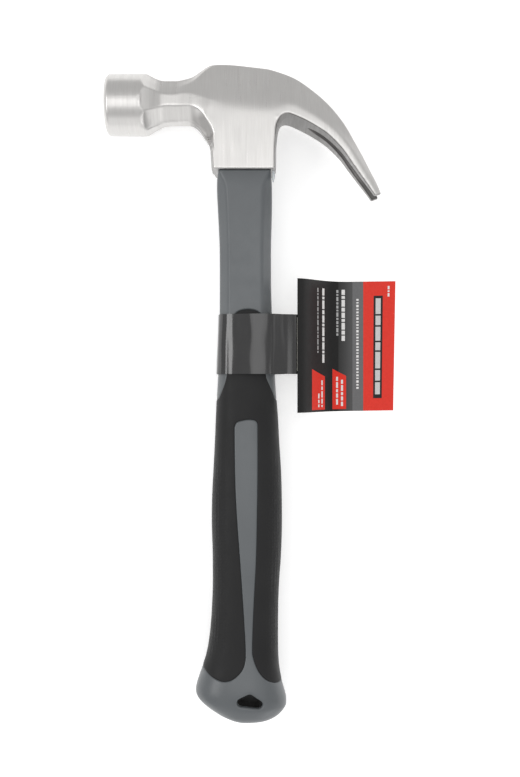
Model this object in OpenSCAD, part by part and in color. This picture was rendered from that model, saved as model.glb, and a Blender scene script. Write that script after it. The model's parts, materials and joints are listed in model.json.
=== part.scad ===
// Curved-claw hammer: forged steel head, moulded handle on a glass-fibre core,
// soft overmoulded grip, and a retail card hung from a plastic strap.
// The hammer lies flat: +Z up, handle along Y with the head at +Y,
// striking face towards -X, claws towards +X. It rests on z = 0.

/* [Head] */
// Diameter of the round striking poll
poll_d = 32; // [31:0.5:34]
// Distance from the handle axis to the striking face
face_reach = 73.6; // [72:0.2:78]
// Width of the chamfer round the striking face
face_chamfer = 1.6; // [0.6:0.2:2.4]
// Half thickness of the flat cheek
cheek_half = 13.2; // [12.6:0.1:13.6]
// Half thickness of the narrow crown
crown_half = 9; // [8.4:0.1:10]
// Half gap between the claw tips
slot_half = 5; // [3.6:0.2:5.6]

/* [Handle] */
// Length of the handle below the head
handle_len = 287; // [280:1:300]
// Half thickness of the octagonal neck
neck_half = 11; // [10.4:0.1:11.4]
// Half thickness of the grip
grip_half = 13.6; // [13:0.1:14.4]
// Diameter of the glass-fibre core rod
core_d = 12; // [10:0.5:12]
// Thickness of the soft grip skin
skin_t = 2.2; // [1.6:0.1:2.6]

/* [Card and strap] */
// Length of strap along the handle
strap_w = 31; // [24:1:34]
// Thickness of the strap film
strap_t = 0.5; // [0.4:0.1:0.6]
// Height of the card
card_h = 70; // [60:1:72]
// Distance from the handle axis to the far edge of the card
card_reach = 80.7; // [76:0.1:84]
// Thickness of the card
card_t = 0.5; // [0.4:0.1:0.8]

/* [Hidden] */
$fn = 64;

head_top = 54.8;                              // crown above the socket's lower face
total = handle_len + head_top;
y0 = total / 2 - head_top;                    // the socket's lower face
zc = poll_d / 2;                              // height of the middle plane
ax = (face_reach - card_reach) / 2;           // puts the whole box on the origin
poll_v = 35.8;                                // poll axis above the socket's face
eps = 0.01;

// ---- small helpers -------------------------------------------------------
function lerp(a, b, t) = a * (1 - t) + b * t;
// smooth curve through a list of rows (each a list of numbers)
function cr(p0, p1, p2, p3, t) =
    0.5 * (2 * p1 + (p2 - p0) * t + (2 * p0 - 5 * p1 + 4 * p2 - p3) * t * t
           + (3 * p1 - p0 - 3 * p2 + p3) * t * t * t);
function smooth(rows, n) = let (m = len(rows)) concat(
    [for (i = [0 : m - 2]) for (k = [0 : n - 1])
        cr(rows[max(i - 1, 0)], rows[i], rows[i + 1], rows[min(i + 2, m - 1)], k / n)],
    [rows[m - 1]]);
// straight-line lookup of column c at key y in rows sorted by a falling first column
function look(rows, y, c, i = 0) =
    i >= len(rows) - 2 || y >= rows[i + 1][0]
    ? lerp(rows[i][c], rows[i + 1][c], (y - rows[i][0]) / (rows[i + 1][0] - rows[i][0]))
    : look(rows, y, c, i + 1);
// closed solid through a list of rings that all have the same number of points
module skin(rings) {
    m = len(rings);
    n = len(rings[0]);
    polyhedron(
        points = [for (r = rings) each r],
        faces = concat(
            [[for (i = [0 : n - 1]) i]],
            [for (j = [0 : m - 2]) for (i = [0 : n - 1]) each [
                [j * n + i, (j + 1) * n + i, (j + 1) * n + (i + 1) % n],
                [j * n + i, (j + 1) * n + (i + 1) % n, j * n + (i + 1) % n]]],
            [[for (i = [n - 1 : -1 : 0]) (m - 1) * n + i]]));
}
function rev(l) = [for (i = [len(l) - 1 : -1 : 0]) l[i]];
module placed() translate([ax, 0, 0]) children();
// local head frame: x from the handle axis, v up from the socket face, z from the middle plane
module head_frame() placed() translate([0, y0, zc]) children();

// ---- head ----------------------------------------------------------------
c = cheek_half;
k = crown_half;
g = slot_half / 5;
// Stations along the forging, from inside the poll to the claw tips:
// lower edge x, v, upper edge x, v, then the half thicknesses met going up:
// half at the edge, distance up, half, distance up, half, distance below the top, half, half at the top,
// and the half gap between the claws.
forging = [
    [-56,   24.8, -56,  47.2,  4.7, 6.5, 11.2,  16,  11.2, 3.2, 7.9, 4.7, 0],
    [-48,   24.6, -48,  47.6,  4.8, 6.8, 11.5,  16.2, 11.5, 3.4, 8.1, 4.8, 0],
    [-44,   25.4, -44,  47.1,  4.5, 6.3, 10.8,  15.4, 10.8, 3.1, 7.6, 4.5, 0],
    [-40,   26.1, -40,  47,    4.3, 6.1, 10.5,  14.8, 10.5, 3.0, 7.4, 4.3, 0],
    [-33,   26.4, -33,  47.5,  4.6, 6.1, 10.8,  14.4, 10.8, 3.2, 7.8, 4.7, 0],
    [-28,   26.2, -28,  48.7,  5.4, 5.2, 11.7,  12.9, 11.7, 2.6, 7.9, 5.8, 0],
    [-24,   24,   -24,  51.2,  7.5, 4.2, 12.5,  13.6, 12.4, 2.0, 8.2, 6.6, 0],
    [-20,   20,   -20,  53.9,  10,  3,   c - 0.2, 16, c - 0.3, 1.6, 8.6, 7.2, 0],
    [-16,   19,   -16.4, 54.8, 11,  2,   c,     16.2, c,    1.4, k,   7.8, 0],
    [-7,    20,   -7,   54.6,  11,  2,   c,     13.5, c,    1.2, k,   7.9, 0],
    [5,     22,   5,    53.3,  11,  2,   c,     10.4, c,    1.2, k,   7.9, 0],
    [14.5,  26,   14,   51.9,  12.4, 1,  c,     5.7, c,     1.2, k,   7.9, 0],
    [21.3,  28.4, 26,   47.4,  13,  0.8, 13.7,  3.9, 13.7,  1.2, k,   8,   0],
    [29.7,  25.2, 36.5, 39.8,  13.4, 0.8, 14.2, 3.7, 14.2,  1.2, 9.4, 8.4, 1.0 * g],
    [37.1,  21.1, 44.2, 32.4,  13.5, 0.8, 14.3, 3.8, 14.3,  1.1, 9.7, 8.8, 1.8 * g],
    [43.3,  16.7, 51,   23.5,  13.4, 0.8, 14.2, 3.6, 14.2,  1.0, 10.0, 9.2, 2.5 * g],
    [49.9,  10,   56.6, 13.7,  12.9, 0.7, 13.6, 3.3, 13.6,  0.9, 10.2, 9.4, 3.2 * g],
    [54.4,  3.8,  60.8, 6.2,   12.2, 0.6, 12.8, 3.1, 12.7,  0.8, 10.2, 9.5, 3.8 * g],
    [59.5,  -3.2, 64.6, -1,    11.4, 0.5, 11.9, 2.7, 11.7,  0.7, 10,  9.4, 4.3 * g],
    [63.4,  -8.4, 67.7, -6.7,  10.6, 0.4, 11,   2.2, 10.8,  0.6, 9.8, 9.3, 4.6 * g],
    [66.8,  -13.2, 70.1, -12.2, 9.8, 0.3, 10.2, 1.6, 10,    0.5, 9.5, 9.1, 5 * g]];
stations = smooth(forging, 2);

function edge_dir(s) = [s[2] - s[0], s[3] - s[1]] / norm([s[2] - s[0], s[3] - s[1]]);
function edge_len(s) = norm([s[2] - s[0], s[3] - s[1]]);
function half_ring(s) = let (L = edge_len(s))
    [[0, s[4]], [s[5], s[6]], [s[7], s[8]], [L - s[9], s[10]], [L, s[11]]];
function station_ring(s) = let (d = edge_dir(s), h = half_ring(s)) concat(
    [for (p = h) [s[0] + d[0] * p[0], s[1] + d[1] * p[0], p[1]]],
    [for (i = [4 : -1 : 0]) [s[0] + d[0] * h[i][0], s[1] + d[1] * h[i][0], -h[i][1]]]);
function wedge_ring(s) = let (d = edge_dir(s), L = edge_len(s), a = max(s[12], 0.3)) [
    [s[0] - d[0] * 4, s[1] - d[1] * 4, a], [s[0] + d[0] * (L + 4), s[1] + d[1] * (L + 4), a],
    [s[0] + d[0] * (L + 4), s[1] + d[1] * (L + 4), -a], [s[0] - d[0] * 4, s[1] - d[1] * 4, -a]];
wedge_rows = concat([for (s = stations) if (s[12] > 0.45) s],
    [[69.6, -17.4, 72.2, -16.8, 0, 0, 0, 0, 0, 0, 0, 0, 5.3 * g]]);

// socket round the handle's eye: left front, right front, left middle, right middle, half thickness
socket_rows = [
    [0,    -16.2, 14.3, -17.3, 15.2, c - 0.7],
    [1.2,  -16.9, 14.9, -17.9, 15.8, c],
    [10,   -17.5, 15,   -18.5, 15.9, c],
    [17,   -18.6, 15.3, -19.8, 16.3, c],
    [24,   -20.1, 15.6, -21.4, 17.2, c - 0.1],
    [29,   -21.4, 15.4, -22.6, 17.6, c - 0.3]];
function socket_ring(r) = let (t = r[5]) [
    [r[1] + 0.5, r[0], t], [r[2] - 0.5, r[0], t], [r[2], r[0], t - 0.7], [r[4], r[0], 4.5],
    [r[4], r[0], -4.5], [r[2], r[0], 0.7 - t], [r[2] - 0.5, r[0], -t], [r[1] + 0.5, r[0], -t],
    [r[1], r[0], 0.7 - t], [r[3], r[0], -4.5], [r[3], r[0], 4.5], [r[1], r[0], t - 0.7]];

// tapered eye, half width across x and z at height v
function eye_x(v) = lerp(11.8, 10.4, v / 55);
function eye_z(v) = lerp(8.4, 5.9, v / 55);
function eye_ring(v, n = 32) = [for (i = [0 : n - 1]) let (a = 360 * i / n, e = 0.6)
    [-1 + eye_x(v) * sign(cos(a)) * pow(abs(cos(a)), e), v, -eye_z(v) * sign(sin(a)) * pow(abs(sin(a)), e)]];

module poll() translate([-face_reach, poll_v, 0]) rotate([0, 90, 0]) rotate_extrude($fn = 96)
    polygon([[0, 0], [zc - face_chamfer, 0], [zc, face_chamfer], [zc, 20.6], [zc - 0.9, 21.9],
             [12.9, 25.2], [11, 28], [0, 28]]);

module head() color([0.78, 0.77, 0.76]) head_frame() difference() {
    union() {
        poll();
        skin(rev([for (s = stations) station_ring(s)]));
        skin([for (r = socket_rows) socket_ring(r)]);
    }
    skin([for (v = [-1, 57]) eye_ring(v)]);
    skin(rev([for (s = wedge_rows) wedge_ring(s)]));
}

rod_top = 43;                                  // how far the core reaches into the eye
resin_top = 51.5;                              // the resin stops a little below the crown
module eye_resin() color([0.72, 0.68, 0.52]) head_frame() difference() {
    skin([for (v = [0, resin_top]) eye_ring(v)]);
    translate([0, -1, 0]) rotate([-90, 0, 0]) cylinder(r = core_d / 2, h = rod_top + 1);
}

// a drop of squeezed-out resin under the corner of the socket
module resin_bead() color([0.86, 0.84, 0.78]) head_frame()
    translate([14.1, -5.5, 9.2]) difference() {
        union() {
            rotate([-90, 0, 0]) cylinder(r = 1.1, h = 5.5, $fn = 24);
            sphere(r = 1.1, $fn = 24);
        }
        translate([-1.56, -2, -2]) cube([0.5, 8, 4]);
    }

// ---- handle --------------------------------------------------------------
rod_low = -146 - (handle_len - 287) / 2;
module core_rod() color([0.86, 0.80, 0.58]) placed() translate([0, rod_low, zc])
    rotate([-90, 0, 0]) cylinder(r = core_d / 2, h = y0 + rod_top - rod_low);

n = neck_half;
h = grip_half;
ys = 116;                                      // the rows below are drawn for this socket height
// Down the handle: height, left half width, right half width, half thickness,
// chamfer (1 full, 0 none), roundness (0 octagon, 1 oval)
handle_rows = [
    [116,   14.3, 13,   n - 0.5, 0.2, 0],
    [112,   15,   13.5, n - 0.1, 0.7, 0],
    [106,   15.1, 13.7, n,   1, 0],
    [98,    14.7, 13.7, n,   1, 0],
    [88,    14.2, 13.5, n,   1, 0],
    [76,    13.7, 13.2, n,   1, 0],
    [60,    13.6, 13.2, n,   1, 0],
    [44,    13.7, 13.6, n,   1, 0.05],
    [26,    14.1, 14.4, n + 0.4, 1, 0.3],
    [9,     14.7, 15.3, n + 1, 1, 0.7],
    [-2,    15.3, 16,   h - 1, 1, 0.9],
    [-14,   15.8, 16.9, h - 0.5, 1, 1],
    [-26,   16.3, 17.5, h - 0.2, 1, 1],
    [-40,   17,   18.4, h,   1, 1],
    [-54,   17.7, 18.8, h,   1, 1],
    [-66,   17.9, 18.9, h,   1, 1],
    [-84,   17.4, 18.4, h - 0.1, 1, 1],
    [-98,   17.3, 17.4, h - 0.3, 1, 1],
    [-112,  17.8, 16.9, h - 0.4, 1, 1],
    [-126,  18.9, 16.8, h - 0.2, 1, 1],
    [-136,  20.6, 16.9, h + 0.3, 1, 1],
    [-143,  22.8, 17.4, h + 1, 1, 1],
    [-149,  25,   18.5, zc - 0.6, 1, 1],
    [-153,  26.3, 19.5, zc - 0.1, 1, 1],
    [-156,  26.7, 20.5, zc,  1, 1],
    [-159,  25.1, 21.3, zc - 0.1, 1, 1],
    [-162,  22,   21.3, zc - 0.5, 1, 1],
    [-165,  17.8, 19.7, zc - 1.3, 1, 1],
    [-168,  12.6, 16.6, zc - 2.8, 1, 1],
    [-170,  7.6,  12.6, zc - 5, 1, 1],
    [-171,  2,    8.2,  zc - 7.5, 1, 1]];
// Where a row sits when the handle is longer or shorter
function row_y(y) = lerp(-total / 2, y0, (y + 171) / (ys + 171));
// unit ring: an octagon with each side in three, rounding to an oval
function corner(i, cf) = let (fx = 1 - 0.36 * cf, fz = 1 - 0.5 * cf)
    [[1, -fz], [1, fz], [fx, 1], [-fx, 1], [-1, fz], [-1, -fz], [-fx, -1], [fx, -1]][i % 8];
function unit(i, cf, rd) = let (a = corner(floor(i / 3), cf), b = corner(floor(i / 3) + 1, cf),
        p = lerp(a, b, (i % 3) / 3), w = atan2(p[1], p[0]), e = 2.35,
        q = [cos(w), sin(w)] / pow(pow(abs(cos(w)), e) + pow(abs(sin(w)), e), 1 / e))
    lerp(p, q, max(rd, 0.04));
// one ring of the handle, d inside its outer surface
function handle_ring(r, d) = [for (i = [0 : 23]) let (u = unit(i, r[4], r[5]))
    [u[0] * ((u[0] < 0 ? r[1] : r[2]) - d), row_y(r[0]), zc + u[1] * (r[3] - d)]];
module handle_solid() skin([for (r = handle_rows) handle_ring(r, 0)]);
// the body under the soft skin, a little longer than the skin at both ends
module under_skin() skin(concat(
    [[for (p = handle_ring([60, 13.6, 13.2, n, 1, 0], skin_t)) [p[0], row_y(64), p[2]]]],
    [for (r = handle_rows) if (r[0] < 61 && r[0] > -150) handle_ring(r, skin_t)],
    [[for (p = handle_ring([-153, 26.3, 19.5, zc - 0.1, 1, 1], skin_t + 0.4)) [p[0], row_y(-158), p[2]]]]));

// outline of the soft skin seen from the front, without its window
skin_left = [[-9.9, 9.5], [-10.7, 6.2], [-12.3, 1.9], [-13.4, -0.8], [-14.8, -2.6], [-19, -4], [-32, -8], [-32, -134], [-24.5, -141.2],
             [-21.9, -142.8], [-17.3, -145.9], [-11.6, -147.7], [-6.5, -146.4], [-2.1, -142.3],
             [-0.3, -137.6], [-0.1, -130], [-1.4, -108], [-3, -85], [-4.7, -62], [-5.6, -42], [-5.9, -19]];
skin_right = [[6.3, -19], [6.3, -42], [6, -62], [5.5, -85], [4.3, -108], [3.5, -130], [4.1, -136.1],
              [6.6, -142.3], [10.3, -146.7], [14.4, -148.9], [18.4, -149.6], [24, -149.8], [32, -146],
              [32, -8], [20, -4.2], [16.6, -3.2], [15.2, -2], [14.3, 0.6], [12.6, 4.3], [11.3, 7.1], [10.6, 9.5]];
window_top = [[-5.8, -17.2], [-5.5, -15.9], [-4.8, -14.7], [-3.1, -13.9], [-0.5, -13.3], [1.5, -13.1],
              [3.4, -13.2], [4.8, -13.5], [5.6, -14.1], [6.1, -15], [6.3, -16.6]];
tongue = [for (a = [0 : 20 : 180]) [1.1 + 6.6 * cos(a), 40.6 + 3.2 * sin(a)]];
function warp(p) = [p[0], row_y(p[1])];
module skin_outline() polygon([for (p = concat(skin_left, window_top, skin_right, tongue)) warp(p)]);
module skin_space() difference() {
    translate([0, 0, -10]) linear_extrude(height = 2 * zc + 20) skin_outline();
    under_skin();
}
// rounded-triangle hole to hang the hammer by
hole_c = [[-2.1, -158.2], [2.1, -156.2], [6.6, -159.3]];
module hang_hole() translate([0, 0, -2]) linear_extrude(height = 2 * zc + 4)
    hull() for (p = hole_c) translate(warp(p)) circle(r = 2.3, $fn = 32);

module handle_jacket() color([0.33, 0.35, 0.36]) placed() difference() {
    handle_solid();
    skin_space();
    translate([0, rod_low, zc]) rotate([-90, 0, 0]) cylinder(r = core_d / 2, h = handle_len + 40);
    hang_hole();
}
module grip() color([0.12, 0.12, 0.12]) placed() intersection() {
    handle_solid();
    skin_space();
}

// ---- strap and card ------------------------------------------------------
strap_low = 10.4;
hinge_x = 20.9;
hinge_z = 25;
// inside of the strap loop at its upper end and at its lower end: the film hugs the
// neck on the left and both runs meet at the closure on the right
function loop_in(w, wr, t) = [
    [20.2, 9.0], [9.2, t + 0.1], [-0.64 * w, t + 0.1], [-0.9 * w, t * 0.7], [-w, t * 0.45], [-w, 0], [-w, -t * 0.45],
    [-0.9 * w, -t * 0.7], [-0.64 * w, -t], [8.6, -t], [wr - 1.4, -t * 0.72], [wr + 0.8, -t * 0.3],
    [20.2, 8.2]];
function loop_out(w, wr, t) = [
    [20.7, 9.35], [9.3, t + 0.1 + strap_t], [-0.64 * w - 0.2, t + 0.1 + strap_t], [-0.9 * w - 0.4, t * 0.7 + 0.35],
    [-w - strap_t, t * 0.45 + 0.1], [-w - strap_t, 0], [-w - strap_t, -t * 0.45 - 0.1],
    [-0.9 * w - 0.4, -t * 0.7 - 0.35], [-0.64 * w - 0.2, -t - strap_t], [8.8, -t - strap_t],
    [wr - 1.05, -t * 0.72 - 0.4], [wr + 1.3, -t * 0.3 - 0.1], [20.7, 7.8]];
// upper and lower end: left half width, right half width, half thickness inside the film
loop_top = [14, 14, n + 0.4];
loop_low = [15.5, 15.7, n + 1.5];
module strap_loop() color([0.1, 0.1, 0.1]) placed() translate([0, 0, zc]) {
    m = 13;
    rings = [for (e = [[strap_low + strap_w, loop_top], [strap_low, loop_low]]) for (f = [0, 1])
        [for (p = f == 0 ? loop_out(e[1][0], e[1][1], e[1][2]) : loop_in(e[1][0], e[1][1], e[1][2]))
            [p[0], e[0], p[1]]]];
    polyhedron(points = [for (r = rings) each r], faces = [for (i = [0 : m - 1]) let (j = (i + 1) % m) each [
        [i, j, m + j], [i, m + j, m + i],
        [2 * m + i, 3 * m + i, 3 * m + j], [2 * m + i, 3 * m + j, 2 * m + j],
        [i, 2 * m + i, 2 * m + j], [i, 2 * m + j, j],
        [m + i, m + j, 3 * m + j], [m + i, 3 * m + j, 3 * m + i]]]);
}

// Middle line of the card across its width: it droops from the strap to the
// surface and then lies flat
function bez(a, b, cc, d, t) = a * pow(1 - t, 3) + 3 * b * t * pow(1 - t, 2) + 3 * cc * t * t * (1 - t) + d * pow(t, 3);
card_x0 = 26.9;
card_line = concat([for (i = [0 : 12]) bez([card_x0, 23.7], [35, 20.5], [41, card_t / 2], [56, card_t / 2], i / 12)],
    [[card_reach, card_t / 2]]);
function nrm(l, i) = let (a = l[max(i - 1, 0)], b = l[min(i + 1, len(l) - 1)], d = (b - a) / norm(b - a)) [-d[1], d[0]];
// a strip that follows a line, from o1 to o2 to the side of it
module strip(l, o1, o2, y1, y2) translate([0, y2, 0]) rotate([90, 0, 0]) linear_extrude(height = y2 - y1)
    polygon(concat([for (i = [0 : len(l) - 1]) l[i] + nrm(l, i) * o2],
                   [for (i = [len(l) - 1 : -1 : 0]) l[i] + nrm(l, i) * o1]));
card_low = -10.2;
glue_t = 0.15;
module hang_card() color([0.75, 0.2, 0.16]) placed()
    strip(card_line, -card_t / 2, card_t / 2, card_low, card_low + card_h);
// the tail leads from the closure to the card, then runs along under it
lead = [for (i = [0 : 3]) bez([hinge_x + 0.2, hinge_z - 0.5], [23, 24.1], [25, 23.6], [card_x0 - 0.1, 22.9], i / 4)];
function under_card(o) = [for (i = [0 : 4]) card_line[i] + nrm(card_line, i) * o];
module slab(top, low, y1, y2) translate([0, y2, 0]) rotate([90, 0, 0]) linear_extrude(height = y2 - y1)
    polygon(concat(top, [for (i = [len(low) - 1 : -1 : 0]) low[i]]));
module strap_tail() color([0.1, 0.1, 0.1]) placed()
    slab(concat([for (i = [0 : 3]) lead[i] + nrm(lead, i) * strap_t], under_card(-card_t / 2 - glue_t)),
         concat([for (i = [0 : 3]) lead[i] - nrm(lead, i) * strap_t], under_card(-card_t / 2 - glue_t - 2 * strap_t)),
         strap_low, strap_low + strap_w);
module card_adhesive() color([0.9, 0.88, 0.8]) placed()
    slab(under_card(-card_t / 2), under_card(-card_t / 2 - glue_t), strap_low + 1.5, strap_low + strap_w - 1.5);

head();
eye_resin();
resin_bead();
core_rod();
handle_jacket();
grip();
strap_loop();
strap_tail();
card_adhesive();
hang_card();
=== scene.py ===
import bpy, json, math
import numpy as np
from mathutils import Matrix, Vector, geometry
from mathutils.bvhtree import BVHTree
from mathutils.kdtree import KDTree


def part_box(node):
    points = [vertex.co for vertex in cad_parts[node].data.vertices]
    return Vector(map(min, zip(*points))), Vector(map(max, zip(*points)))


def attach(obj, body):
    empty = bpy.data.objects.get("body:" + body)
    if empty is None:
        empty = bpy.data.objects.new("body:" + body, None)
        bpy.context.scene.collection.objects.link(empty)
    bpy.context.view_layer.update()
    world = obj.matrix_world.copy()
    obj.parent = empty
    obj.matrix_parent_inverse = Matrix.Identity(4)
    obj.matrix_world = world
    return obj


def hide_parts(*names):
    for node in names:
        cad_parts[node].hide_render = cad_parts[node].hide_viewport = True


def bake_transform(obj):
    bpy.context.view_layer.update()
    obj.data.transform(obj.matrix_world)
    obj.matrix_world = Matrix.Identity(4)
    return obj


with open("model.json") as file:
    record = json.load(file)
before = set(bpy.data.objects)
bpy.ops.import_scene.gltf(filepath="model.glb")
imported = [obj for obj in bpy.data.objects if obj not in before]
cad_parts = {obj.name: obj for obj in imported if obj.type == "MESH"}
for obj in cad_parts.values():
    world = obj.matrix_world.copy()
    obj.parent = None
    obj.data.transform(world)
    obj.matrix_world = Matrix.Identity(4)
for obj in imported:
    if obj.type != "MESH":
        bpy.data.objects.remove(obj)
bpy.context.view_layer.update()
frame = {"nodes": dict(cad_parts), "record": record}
MM = 0.001
mounts = {m["name"]: m for m in frame["record"]["mounts"]}
_face = mounts["strike_face"]["pos_m"]
AX = _face[0] * 1000 + 73.6          # handle axis in the part's frame, mm
Y0 = _face[1] * 1000 - 35.8          # the socket's lower face
ZC = _face[2] * 1000                 # the middle plane
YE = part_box("handle_jacket")[0][1] * 1000   # end of the butt


def mesh_object(name, verts, faces, mats, index=None, smooth=True):
    """A mesh piece from points in mm of the part's frame."""
    me = bpy.data.meshes.new(name)
    v = (np.asarray(verts, float) * MM).astype(np.float32)
    me.vertices.add(len(v))
    me.vertices.foreach_set("co", v.ravel())
    sizes = np.array([len(f) for f in faces], np.int32)
    flat = np.concatenate([np.asarray(f, np.int32) for f in faces]) if len(faces) else np.zeros(0, np.int32)
    me.loops.add(len(flat))
    me.loops.foreach_set("vertex_index", flat)
    me.polygons.add(len(sizes))
    me.polygons.foreach_set("loop_start", np.concatenate([[0], np.cumsum(sizes)[:-1]]).astype(np.int32))
    me.polygons.foreach_set("loop_total", sizes)
    for m in mats:
        me.materials.append(m)
    if index is not None:
        me.polygons.foreach_set("material_index", np.asarray(index, np.int32))
    me.update(calc_edges=True)
    me.validate()
    me.polygons.foreach_set("use_smooth", np.full(len(me.polygons), smooth, bool))
    o = bpy.data.objects.new(name, me)
    bpy.context.scene.collection.objects.link(o)
    return o


# ------------------------------------------------------------------ materials
def new_mat(name):
    m = bpy.data.materials.new(name)
    m.use_nodes = True
    nt = m.node_tree
    return m, nt, nt.nodes["Principled BSDF"]


def node(nt, kind, **kw):
    n = nt.nodes.new(kind)
    for k, v in kw.items():
        setattr(n, k, v)
    return n


def coords(nt, scale=(1, 1, 1), rot=(0, 0, 0)):
    tc = node(nt, "ShaderNodeTexCoord")
    mp = node(nt, "ShaderNodeMapping")
    mp.inputs["Scale"].default_value = scale
    mp.inputs["Rotation"].default_value = rot
    nt.links.new(tc.outputs["Object"], mp.inputs["Vector"])
    return mp.outputs["Vector"]


def noise(nt, vec, scale, detail=3.0, rough=0.55):
    n = node(nt, "ShaderNodeTexNoise")
    n.inputs["Scale"].default_value = scale
    n.inputs["Detail"].default_value = detail
    n.inputs["Roughness"].default_value = rough
    nt.links.new(vec, n.inputs["Vector"])
    return n.outputs["Fac"]


def remap(nt, val, a, b, lo=0.0, hi=1.0):
    r = node(nt, "ShaderNodeMapRange")
    r.inputs["From Min"].default_value = lo
    r.inputs["From Max"].default_value = hi
    r.inputs["To Min"].default_value = a
    r.inputs["To Max"].default_value = b
    nt.links.new(val, r.inputs["Value"])
    return r.outputs["Result"]


def mixcol(nt, fac, a, b):
    m = node(nt, "ShaderNodeMix", data_type="RGBA")
    for sock, val in ((m.inputs[6], a), (m.inputs[7], b)):
        if hasattr(val, "is_output"):
            nt.links.new(val, sock)
        else:
            sock.default_value = (*val, 1)
    if hasattr(fac, "is_output"):
        nt.links.new(fac, m.inputs[0])
    else:
        m.inputs[0].default_value = fac
    return m.outputs[2]


def bump(nt, bsdf, height, strength, dist, prev=None):
    b = node(nt, "ShaderNodeBump")
    b.inputs["Strength"].default_value = strength
    b.inputs["Distance"].default_value = dist
    nt.links.new(height, b.inputs["Height"])
    if prev is not None:
        nt.links.new(prev, b.inputs["Normal"])
    nt.links.new(b.outputs["Normal"], bsdf.inputs["Normal"])
    return b.outputs["Normal"]


def steel():
    m, nt, b = new_mat("satin_steel")
    b.inputs["Metallic"].default_value = 1.0
    fine = noise(nt, coords(nt, (3200, 70, 70)), 1.0, 4.0, 0.6)       # fine grind lines across the head
    wide = noise(nt, coords(nt, (900, 35, 35)), 1.0, 2.0, 0.5)
    cloud = noise(nt, coords(nt, (1, 1, 1)), 60.0, 3.0, 0.5)
    g = mixcol(nt, remap(nt, fine, 0, 1, 0.25, 0.75), (0.60, 0.585, 0.57), (0.70, 0.69, 0.675))
    g2 = mixcol(nt, remap(nt, cloud, 0, 0.35, 0.35, 0.7), g, (0.56, 0.55, 0.54))
    # painted shade: a per-point attribute of the head darkens the steel where its faces turn down under the claws and
    # the neck; it darkens the slot between the claws too
    at = node(nt, "ShaderNodeAttribute", attribute_name="painted_shade_and_slot")
    g3 = mixcol(nt, remap(nt, at.outputs["Fac"], 0.0, 1.0, 0.0, 0.62), g2, (0.20, 0.193, 0.188))
    g3 = mixcol(nt, remap(nt, at.outputs["Fac"], 0.0, 1.0, 0.66, 1.0), g3, (0.035, 0.033, 0.032))
    nt.links.new(g3, b.inputs["Base Color"])
    nt.links.new(remap(nt, wide, 0.27, 0.37, 0.3, 0.7), b.inputs["Roughness"])
    n1 = bump(nt, b, fine, 0.10, 0.00012)
    bump(nt, b, wide, 0.10, 0.0002, n1)
    return m


def moulded(name, a, c, rough, fine_scale, strength, spec=0.5):
    m, nt, b = new_mat(name)
    v = coords(nt)
    cloud = noise(nt, v, 45.0, 3.0, 0.5)
    base = mixcol(nt, remap(nt, cloud, 0, 1, 0.3, 0.7), a, c)
    nt.links.new(base, b.inputs["Base Color"])
    grain = noise(nt, v, fine_scale, 2.0, 0.5)
    nt.links.new(remap(nt, noise(nt, v, 180.0, 2.0), rough - 0.04, rough + 0.05, 0.3, 0.7), b.inputs["Roughness"])
    b.inputs["Specular IOR Level"].default_value = spec
    bump(nt, b, grain, strength, 0.0002)
    return m


def soft_black():
    m, nt, b = new_mat("soft_black")
    v = coords(nt)
    cloud = noise(nt, v, 40.0, 3.0, 0.5)
    nt.links.new(mixcol(nt, remap(nt, cloud, 0, 1, 0.3, 0.7), (0.013, 0.013, 0.0135), (0.017, 0.017, 0.0175)),
                 b.inputs["Base Color"])
    b.inputs["Specular IOR Level"].default_value = 0.24
    # small raised pips on the outer flanks of the pads
    vo = node(nt, "ShaderNodeTexVoronoi", feature="F1")
    vo.inputs["Scale"].default_value = 620.0
    vo.inputs["Randomness"].default_value = 0.25
    nt.links.new(v, vo.inputs["Vector"])
    pips = remap(nt, vo.outputs["Distance"], 1.0, 0.0, 0.15, 0.55)
    sep = node(nt, "ShaderNodeSeparateXYZ")
    tc = node(nt, "ShaderNodeTexCoord")
    nt.links.new(tc.outputs["Object"], sep.inputs[0])
    ab = node(nt, "ShaderNodeMath", operation="SUBTRACT")
    nt.links.new(sep.outputs[0], ab.inputs[0])
    ab.inputs[1].default_value = (AX + 0.6) * MM
    ab2 = node(nt, "ShaderNodeMath", operation="ABSOLUTE")
    nt.links.new(ab.outputs[0], ab2.inputs[0])
    side = remap(nt, ab2.outputs[0], 0.0, 1.0, 0.0095, 0.0125)
    up = remap(nt, sep.outputs[1], 1.0, 0.0, -0.045, -0.025)
    low = remap(nt, sep.outputs[1], 0.0, 1.0, -0.140, -0.128)
    m1 = node(nt, "ShaderNodeMath", operation="MULTIPLY")
    nt.links.new(side, m1.inputs[0]); nt.links.new(up, m1.inputs[1])
    m2 = node(nt, "ShaderNodeMath", operation="MULTIPLY")
    nt.links.new(m1.outputs[0], m2.inputs[0]); nt.links.new(low, m2.inputs[1])
    m3 = node(nt, "ShaderNodeMath", operation="MULTIPLY")
    nt.links.new(m2.outputs[0], m3.inputs[0]); nt.links.new(pips, m3.inputs[1])
    nt.links.new(remap(nt, noise(nt, v, 160.0, 2.0), 0.46, 0.56, 0.3, 0.7), b.inputs["Roughness"])
    n1 = bump(nt, b, noise(nt, v, 2600.0, 2.0, 0.5), 0.22, 0.0002)
    bump(nt, b, m3.outputs[0], 0.5, 0.0003, n1)
    return m


def film():
    m, nt, b = new_mat("strap_film")
    v = coords(nt)
    nt.links.new(mixcol(nt, noise(nt, v, 30.0), (0.009, 0.009, 0.0095), (0.013, 0.0125, 0.0135)), b.inputs["Base Color"])
    nt.links.new(remap(nt, noise(nt, coords(nt, (1, 0.25, 1)), 260.0, 3.0), 0.12, 0.17, 0.3, 0.7), b.inputs["Roughness"])
    b.inputs["Specular IOR Level"].default_value = 0.85
    bump(nt, b, noise(nt, coords(nt, (1, 0.2, 1)), 90.0, 2.0), 0.12, 0.0006)
    return m


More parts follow.
